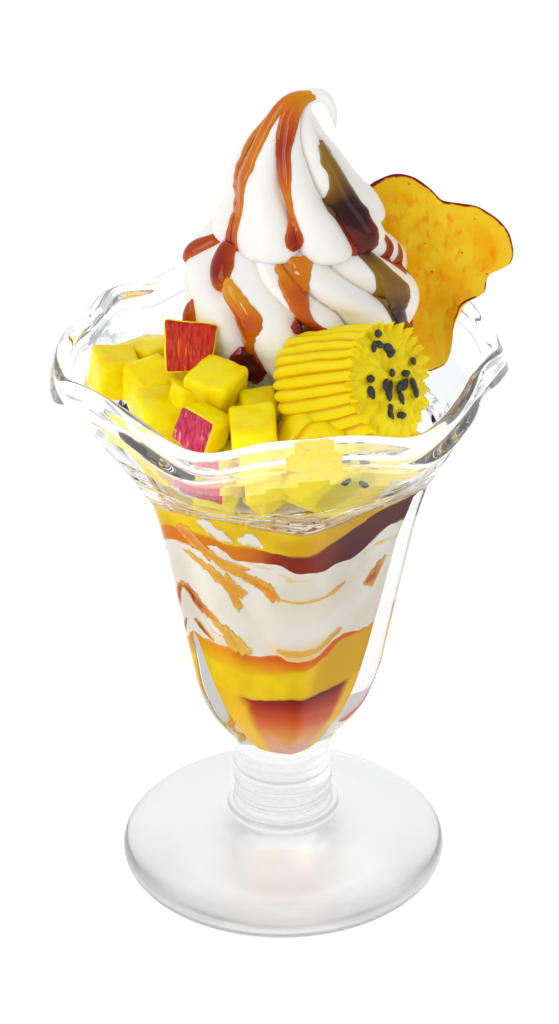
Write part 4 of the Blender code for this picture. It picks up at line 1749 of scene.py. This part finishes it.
@dataclass
class PotatoSlice:
    """The dried slice: a thin wavy disc with an uneven outline and skin on its edge."""

    centre: Vector = Vector((33.0, 16.5, 144.6))
    thickness: float = 1.3
    lean: float = 0.2
    # (direction, radius) of the rim
    rim: Path = (
        (5, 18.6), (19, 19.6), (32, 19.5), (47, 18.3), (65, 16.7), (79, 16.5), (89, 19.0), (99, 21.2),
        (112, 21.8), (126, 21.6), (150, 19.5), (180, 16.5), (210, 15.5), (240, 18.0), (256, 22.0),
        (269, 23.6), (278, 20.2), (286, 16.4), (297, 11.8), (317, 9.3), (343, 9.9), (356, 13.4))
    curl_direction: float = 312.0
    curl_width: float = 34.0
    curl_reach: float = 3.2
    curl_lift: float = 3.6
    segments: int = 288
    rings: int = 44

    def outline(self, angle: float) -> float:
        """Radius of the uneven outline in a direction."""
        return round_value(self.rim, math.degrees(angle)) + 0.3 * lumps(polar(8.0, angle, 0.0), 2.0, 4.0)

    def point(self, angle: float, share: float, front: float) -> Vector:
        """A point on the front (1) or the back (-1).

        Args:
            angle: The direction round its middle, in radians.
            share: How far out it is, 1 at the rim.
            front: 1 on the front, -1 on the back.

        Returns:
            The point.
        """
        beside = (math.degrees(angle) - self.curl_direction + 180.0) % 360.0 - 180.0
        curled = math.exp(-(beside / self.curl_width) ** 4) * max(0.0, (share - 0.55) / 0.45)
        radius = share * self.outline(angle) + self.curl_reach * math.sin(math.pi * min(1.0, curled))
        x, rise = radius * math.cos(angle), radius * math.sin(angle)
        wave = 2.2 * math.sin(3 * angle + 0.6) * share ** 2 - 0.008 * x * abs(x)
        wave += 0.5 * math.sin(7 * angle) * share ** 6 + 0.45 * lumps(Vector((x, 0, rise)), 7.0, 2.0)
        edge = math.sqrt(max(0.0, 1 - max(0.0, (share - 0.97) / 0.03) ** 2))
        half = front * self.thickness / 2 * max(0.25, edge)
        return self.centre + Vector((x, self.lean * rise + wave - self.curl_lift * curled ** 2 - half, rise))

    def build(self) -> None:
        """Makes the slice."""
        shares = [step / self.rings for step in range(1, self.rings + 1)]
        path = [(share, 1) for share in shares] + [(share, -1) for share in reversed(shares)]
        body = Body()
        body.loft_samples([[(self.point(angle, share, front), share) for angle in ring_angles(self.segments)]
                           for share, front in path])
        register(body.make("dried_potato_slice", [DriedSlice().material()]), "potato_chip", "potato_chip")


class Skin(Enum):
    """Which skin a die shows, and on which of its faces."""

    NONE = "none"
    RED = "red"
    PINK = "pink"
    STRIP = "strip"


@dataclass(frozen=True)
class Die:
    """One cooked cube: its node if it has one, edge, turn in degrees, centre and skin."""

    node: str
    edge: float
    turn: tuple[float, float, float]
    centre: tuple[float, float, float]
    skin: Skin = Skin.NONE


@dataclass
class DicedPotato:
    """The ten dice that show over the rim, and the lower ones that they lie on."""

    bevel: float = 1.15
    unevenness: float = 0.85
    dent: float = 0.45
    pitting: float = 0.10
    divisions: int = 18
    # The dice are numbered for their unevenness, the lower ones from here
    lower_start: int = 60
    dice: tuple[Die, ...] = (
        Die("dice_left_outer", 9.4, (8, 12, 22), (-36.7, 1.4, 126.6)),
        Die("dice_left_back", 9.8, (-6, 6, 50), (-28.8, 9.4, 125.4)),
        Die("dice_red_skin", 10.8, (-28, 4, -4), (-19.4, -8.4, 138.2), Skin.RED),
        Die("dice_pale_edge", 9.8, (20, -6, 30), (-27.6, -4.8, 126.4), Skin.STRIP),
        Die("dice_centre", 9.8, (14, 10, -34), (-13.6, -18.4, 133.2)),
        Die("dice_small", 6.2, (4, 6, 20), (-20.0, -19.0, 131.4)),
        Die("dice_front_left", 10.4, (10, 4, 24), (-26.4, -18.0, 125.8)),
        Die("dice_pink_skin", 8.8, (-10, 18, -38), (-16.2, -28.6, 129.0), Skin.PINK),
        Die("dice_front", 10.4, (4, -4, 2), (-5.4, -31.0, 128.4)),
        Die("dice_shaded", 8.4, (14, 8, 16), (-5.2, -21.0, 128.8)))
    lower: tuple[Die, ...] = (
        Die("", 9.6, (6, -8, 6), (-3.6, -29.0, 119.6)),
        Die("", 9.6, (4, 6, -30), (-14.4, -27.0, 119.0), Skin.PINK),
        Die("", 9.0, (10, 4, -40), (-23.6, -16.6, 117.8)), Die("", 9.0, (4, 10, 20), (-26.2, -6.0, 117.6)),
        Die("", 9.4, (20, 8, 35), (-14.6, -16.0, 124.2)), Die("", 8.2, (8, 12, 24), (4.2, -27.6, 124.2)),
        Die("", 8.6, (12, 4, 50), (-21.0, -6.0, 126.0)), Die("", 8.6, (-6, 14, 10), (-13.6, -21.0, 112.6)),
        Die("", 8.4, (12, -14, 36), (-3.4, -24.0, 112.2)), Die("", 8.0, (2, 4, 60), (-22.0, -2.0, 111.4)))

    def corners(self, die: Die, number: int) -> dict[tuple[int, ...], Vector]:
        """The eight corners, each a little out of square.

        Args:
            die: The die.
            number: Its own number, for its unevenness.

        Returns:
            Each corner, by its signs along the three axes.
        """
        draw = random.Random(number)
        found = {}
        for corner in product((-1, 1), repeat=3):
            shift = Vector([draw.uniform(-self.unevenness, self.unevenness) for _ in range(3)])
            found[corner] = Vector(corner) * (die.edge / 2) + shift
        return found

    def shape(self, corners: dict[tuple[int, ...], Vector], unit: Vector, rounding: float) -> Vector:
        """Maps a point of the cube from -1 to 1 to the uneven cube, its edges rounded.

        Args:
            corners: The corners of the uneven cube.
            unit: The point of the cube.
            rounding: The radius of the edges on the cube.

        Returns:
            The point in millimetres.
        """
        inner = Vector([limit(part, rounding - 1, 1 - rounding) for part in unit])
        outward = unit - inner
        if outward.length > 1e-9:
            outward = outward.normalized() * rounding
        rounded = inner + outward
        total = Vector()
        for key, corner in corners.items():
            total += corner * math.prod((1 + sign * part) / 2 for sign, part in zip(key, rounded))
        return total

    def add_side(self, body: Body, axis: int, sign: int, place: Callable[[Vector], Vector],
                 mark: int) -> None:
        """Adds one side of a cube as a grid.

        Args:
            body: The mesh to add it to.
            axis: The axis it faces along, 0 to 2.
            sign: Which way it faces.
            place: Maps a point of the cube from -1 to 1 to its place.
            mark: Its material number.
        """
        n = self.divisions
        rows = []
        for i in range(n + 1):
            row = []
            for j in range(n + 1):
                unit = Vector()
                unit[axis] = sign
                unit[(axis + 1) % 3] = -1 + 2 * i / n
                unit[(axis + 2) % 3] = -1 + 2 * j / n
                row.append(place(unit))
            rows.append(body.add_points(row))
        for lower, upper in zip(rows, rows[1:]):
            for j in range(n):
                square = (lower[j], upper[j], upper[j + 1], lower[j + 1])
                body.add_face(square if sign > 0 else square[::-1], mark)

    def marks(self, die: Die) -> dict[tuple[int, int], int]:
        """The material number of each (axis, sign) side that shows skin.

        Args:
            die: The die.

        Returns:
            The material numbers, none for a die without skin.
        """
        if die.skin is Skin.NONE:
            return {}
        return {(2, -1): 1} if die.skin is Skin.STRIP else {(1, -1): 1}

    def add_die(self, body: Body, die: Die, number: int) -> None:
        """Adds one die to a mesh.

        Args:
            body: The mesh to add it to.
            die: The die.
            number: Its own number, for its unevenness.
        """
        corners = self.corners(die, number)
        centre = Vector(die.centre)
        rotation = Euler([math.radians(value) for value in die.turn]).to_matrix()

        def place(unit: Vector) -> Vector:
            """The die's surface at a point of the cube from -1 to 1.

            Args:
                unit: The point of the cube.

            Returns:
                The point.
            """
            local = self.shape(corners, unit, 2 * self.bevel / die.edge)
            swell = self.dent * lumps(local, 3.4, number + 20)
            swell += self.pitting * lumps(local, 1.1, number + 40)
            return centre + rotation @ (local * (1 + swell / die.edge))

        marks = self.marks(die)
        for axis, sign in product(range(3), (-1, 1)):
            self.add_side(body, axis, sign, place, marks.get((axis, sign), 0))

    def finished(self, body: Body, name: str, materials: Sequence[bpy.types.Material], *nodes: str) -> None:
        """Turns dice into a piece, the seams of their sides closed.

        Args:
            body: The mesh.
            name: The name of the piece.
            materials: Its materials.
            nodes: The node that it replaces, if any.
        """
        piece = body.make(name, materials)
        weld = piece.modifiers.new("weld", "WELD")
        weld.merge_threshold = 0.02 * MM
        register(piece, "potato_dice", *nodes)

    def build(self) -> None:
        """Makes the ten dice, and the lower ones under them as one piece."""
        flesh = CookedPotato().material()
        red = PotatoSkin("potato_skin_red", (0.66, 0.030, 0.004), (0.40, 0.012, 0.004), (0.80, 0.17, 0.01),
                         (1.0, 4.0, 8.0)).material()
        pink = PotatoSkin("potato_skin_pink", (0.66, 0.045, 0.11), (0.42, 0.015, 0.05), (0.86, 0.42, 0.44),
                          (1.0, 1.0, 5.0)).material()
        for number, die in enumerate(self.dice):
            body = Body()
            self.add_die(body, die, number)
            self.finished(body, die.node + "_cut", [flesh, pink if die.skin is Skin.PINK else red], die.node)
        body = Body()
        for number, die in enumerate(self.lower, self.lower_start):
            self.add_die(body, die, number)
        self.finished(body, "dice_below", [flesh, pink])


@dataclass
class Crumbs:
    """A crumb of potato by the cream, and flecks of caramel inside the flare."""

    crumb: Vector = Vector((1.4, -30.6, 127.0))
    # (x, y, z, size) of each fleck
    flecks: Path = (
        (-1.5, -33.4, 107.6, 0.7), (2.0, -33.8, 107.4, 0.5), (6.5, -33.4, 107.8, 0.8),
        (9.5, -32.6, 108.2, 0.5), (4.0, -33.9, 107.0, 0.4), (27.6, -24.4, 121.5, 0.6),
        (-8.0, -31.8, 108.0, 0.4))

    def blob(self, body: Body, middle: Vector, size: float, seed: float, value: float) -> None:
        """Adds a lumpy blob.

        Args:
            body: The mesh to add it to.
            middle: Its middle.
            size: Its size in millimetres.
            seed: The seed of its lumps.
            value: The number for its finish.
        """
        rings = []
        for _, aims in ball_rings(10, 18):
            rings.append([(middle + aim * size * (1 + 0.35 * lumps(aim, 0.9, seed)), value) for aim in aims])
        body.loft_samples(rings)

    def build(self) -> None:
        """Makes the crumb and the flecks."""
        crumb = Body()
        self.blob(crumb, self.crumb, 2.1, 3.0, 0.3)
        register(crumb.make("potato_crumb", [PipedPaste().material()]), "potato_dice")
        flecks = Body()
        for number, (x, y, z, size) in enumerate(self.flecks):
            self.blob(flecks, Vector((x, y, z)), size, number, 0.55)
        register(flecks.make("caramel_flecks", [CaramelSauce().material()]), "caramel")


@dataclass(frozen=True)
class Softbox:
    """A rectangular light: its place in millimetres, its size in metres and its power in watts."""

    name: str
    place: Vector
    size: tuple[float, float]
    power: float

    def build(self, target: Vector) -> None:
        """Makes the light, aimed at a target.

        Args:
            target: The point that it faces, in millimetres.
        """
        light = bpy.data.lights.new(self.name, "AREA")
        light.shape = "RECTANGLE"
        light.size, light.size_y = self.size
        light.energy = self.power
        obj = bpy.data.objects.new(self.name, light)
        obj.location = self.place * MM
        obj.rotation_euler = (target - self.place).to_track_quat("-Z", "Y").to_euler()
        bpy.context.scene.collection.objects.link(obj)


@dataclass
class Studio:
    """A pale floor, soft lights and the camera."""

    target: Vector = Vector((-0.29, 0.0, 91.88))
    elevation: float = 29.87
    distance: float = 767.6
    roll: float = -0.46
    lens: float = 119.45
    sensor: float = 36.0
    floor_half: float = 9.0
    floor_drop: float = 0.05
    floor_glow: float = 0.86
    world_light: float = 0.62
    bounces: int = 32
    lights: tuple[Softbox, ...] = (
        Softbox("key_left", Vector((-620, -320, 620)), (0.31, 0.47), 1.3),
        Softbox("strip_left", Vector((-420, -560, 520)), (0.07, 0.30), 0.9),
        Softbox("fill_right", Vector((640, -420, 480)), (0.39, 0.55), 0.6),
        Softbox("top_back", Vector((60, 520, 780)), (0.7, 0.39), 0.8))

    def floor(self) -> None:
        """Makes the floor."""
        half = self.floor_half
        mesh = bpy.data.meshes.new("studio_floor")
        corners = [(-half, -half, 0), (half, -half, 0), (half, half, 0), (-half, half, 0)]
        mesh.from_pydata(corners, [], [(0, 1, 2, 3)])
        obj = bpy.data.objects.new("studio_floor", mesh)
        obj.location.z = -self.floor_drop * MM
        bpy.context.scene.collection.objects.link(obj)
        finish = Finish("studio_white", 0.6, 0.0)
        finish.set("Base Color", (0.22, 0.22, 0.22))
        finish.set("Emission Color", (1.0, 1.0, 1.0))
        finish.set("Emission Strength", self.floor_glow)
        mesh.materials.append(finish.material)

    def camera(self) -> None:
        """Places the camera."""
        tilt = math.radians(self.elevation)
        back = Vector((0.0, -math.cos(tilt), math.sin(tilt)))
        data = bpy.data.cameras.new("camera")
        data.lens = self.lens
        data.sensor_width = self.sensor
        obj = bpy.data.objects.new("camera", data)
        obj.location = (self.target + back * self.distance) * MM
        facing = (-back).to_track_quat("-Z", "Y")
        obj.rotation_euler = (facing @ Euler((0, 0, math.radians(self.roll))).to_quaternion()).to_euler()
        bpy.context.scene.collection.objects.link(obj)
        bpy.context.scene.camera = obj

    def build(self) -> None:
        """Makes the floor, the lights, the world and the camera."""
        self.floor()
        for light in self.lights:
            light.build(self.target)
        world = bpy.data.worlds.new("studio")
        world.use_nodes = True
        background = world.node_tree.nodes["Background"].inputs
        background["Color"].default_value = (1.0, 1.0, 1.0, 1.0)
        background["Strength"].default_value = self.world_light
        scene = bpy.context.scene
        scene.world = world
        scene.view_settings.view_transform = "Standard"
        scene.cycles.max_bounces = self.bounces
        scene.cycles.transmission_bounces = self.bounces
        self.camera()


def main() -> None:
    """Builds the parfait from the foot up, then the studio."""
    logging.basicConfig(level=logging.INFO, format="%(message)s")
    glass = SundaeGlass()
    glass.build()
    FilledLayers(glass).build()
    WallStreaks(glass).build()
    swirl = Swirl()
    swirl.build()
    Sauce(swirl).build()
    cream = PipedCream(glass)
    cream.build()
    SesameSeeds(cream).build()
    PotatoSlice().build()
    DicedPotato().build()
    Crumbs().build()
    Studio().build()


if __name__ == "__main__":
    main()
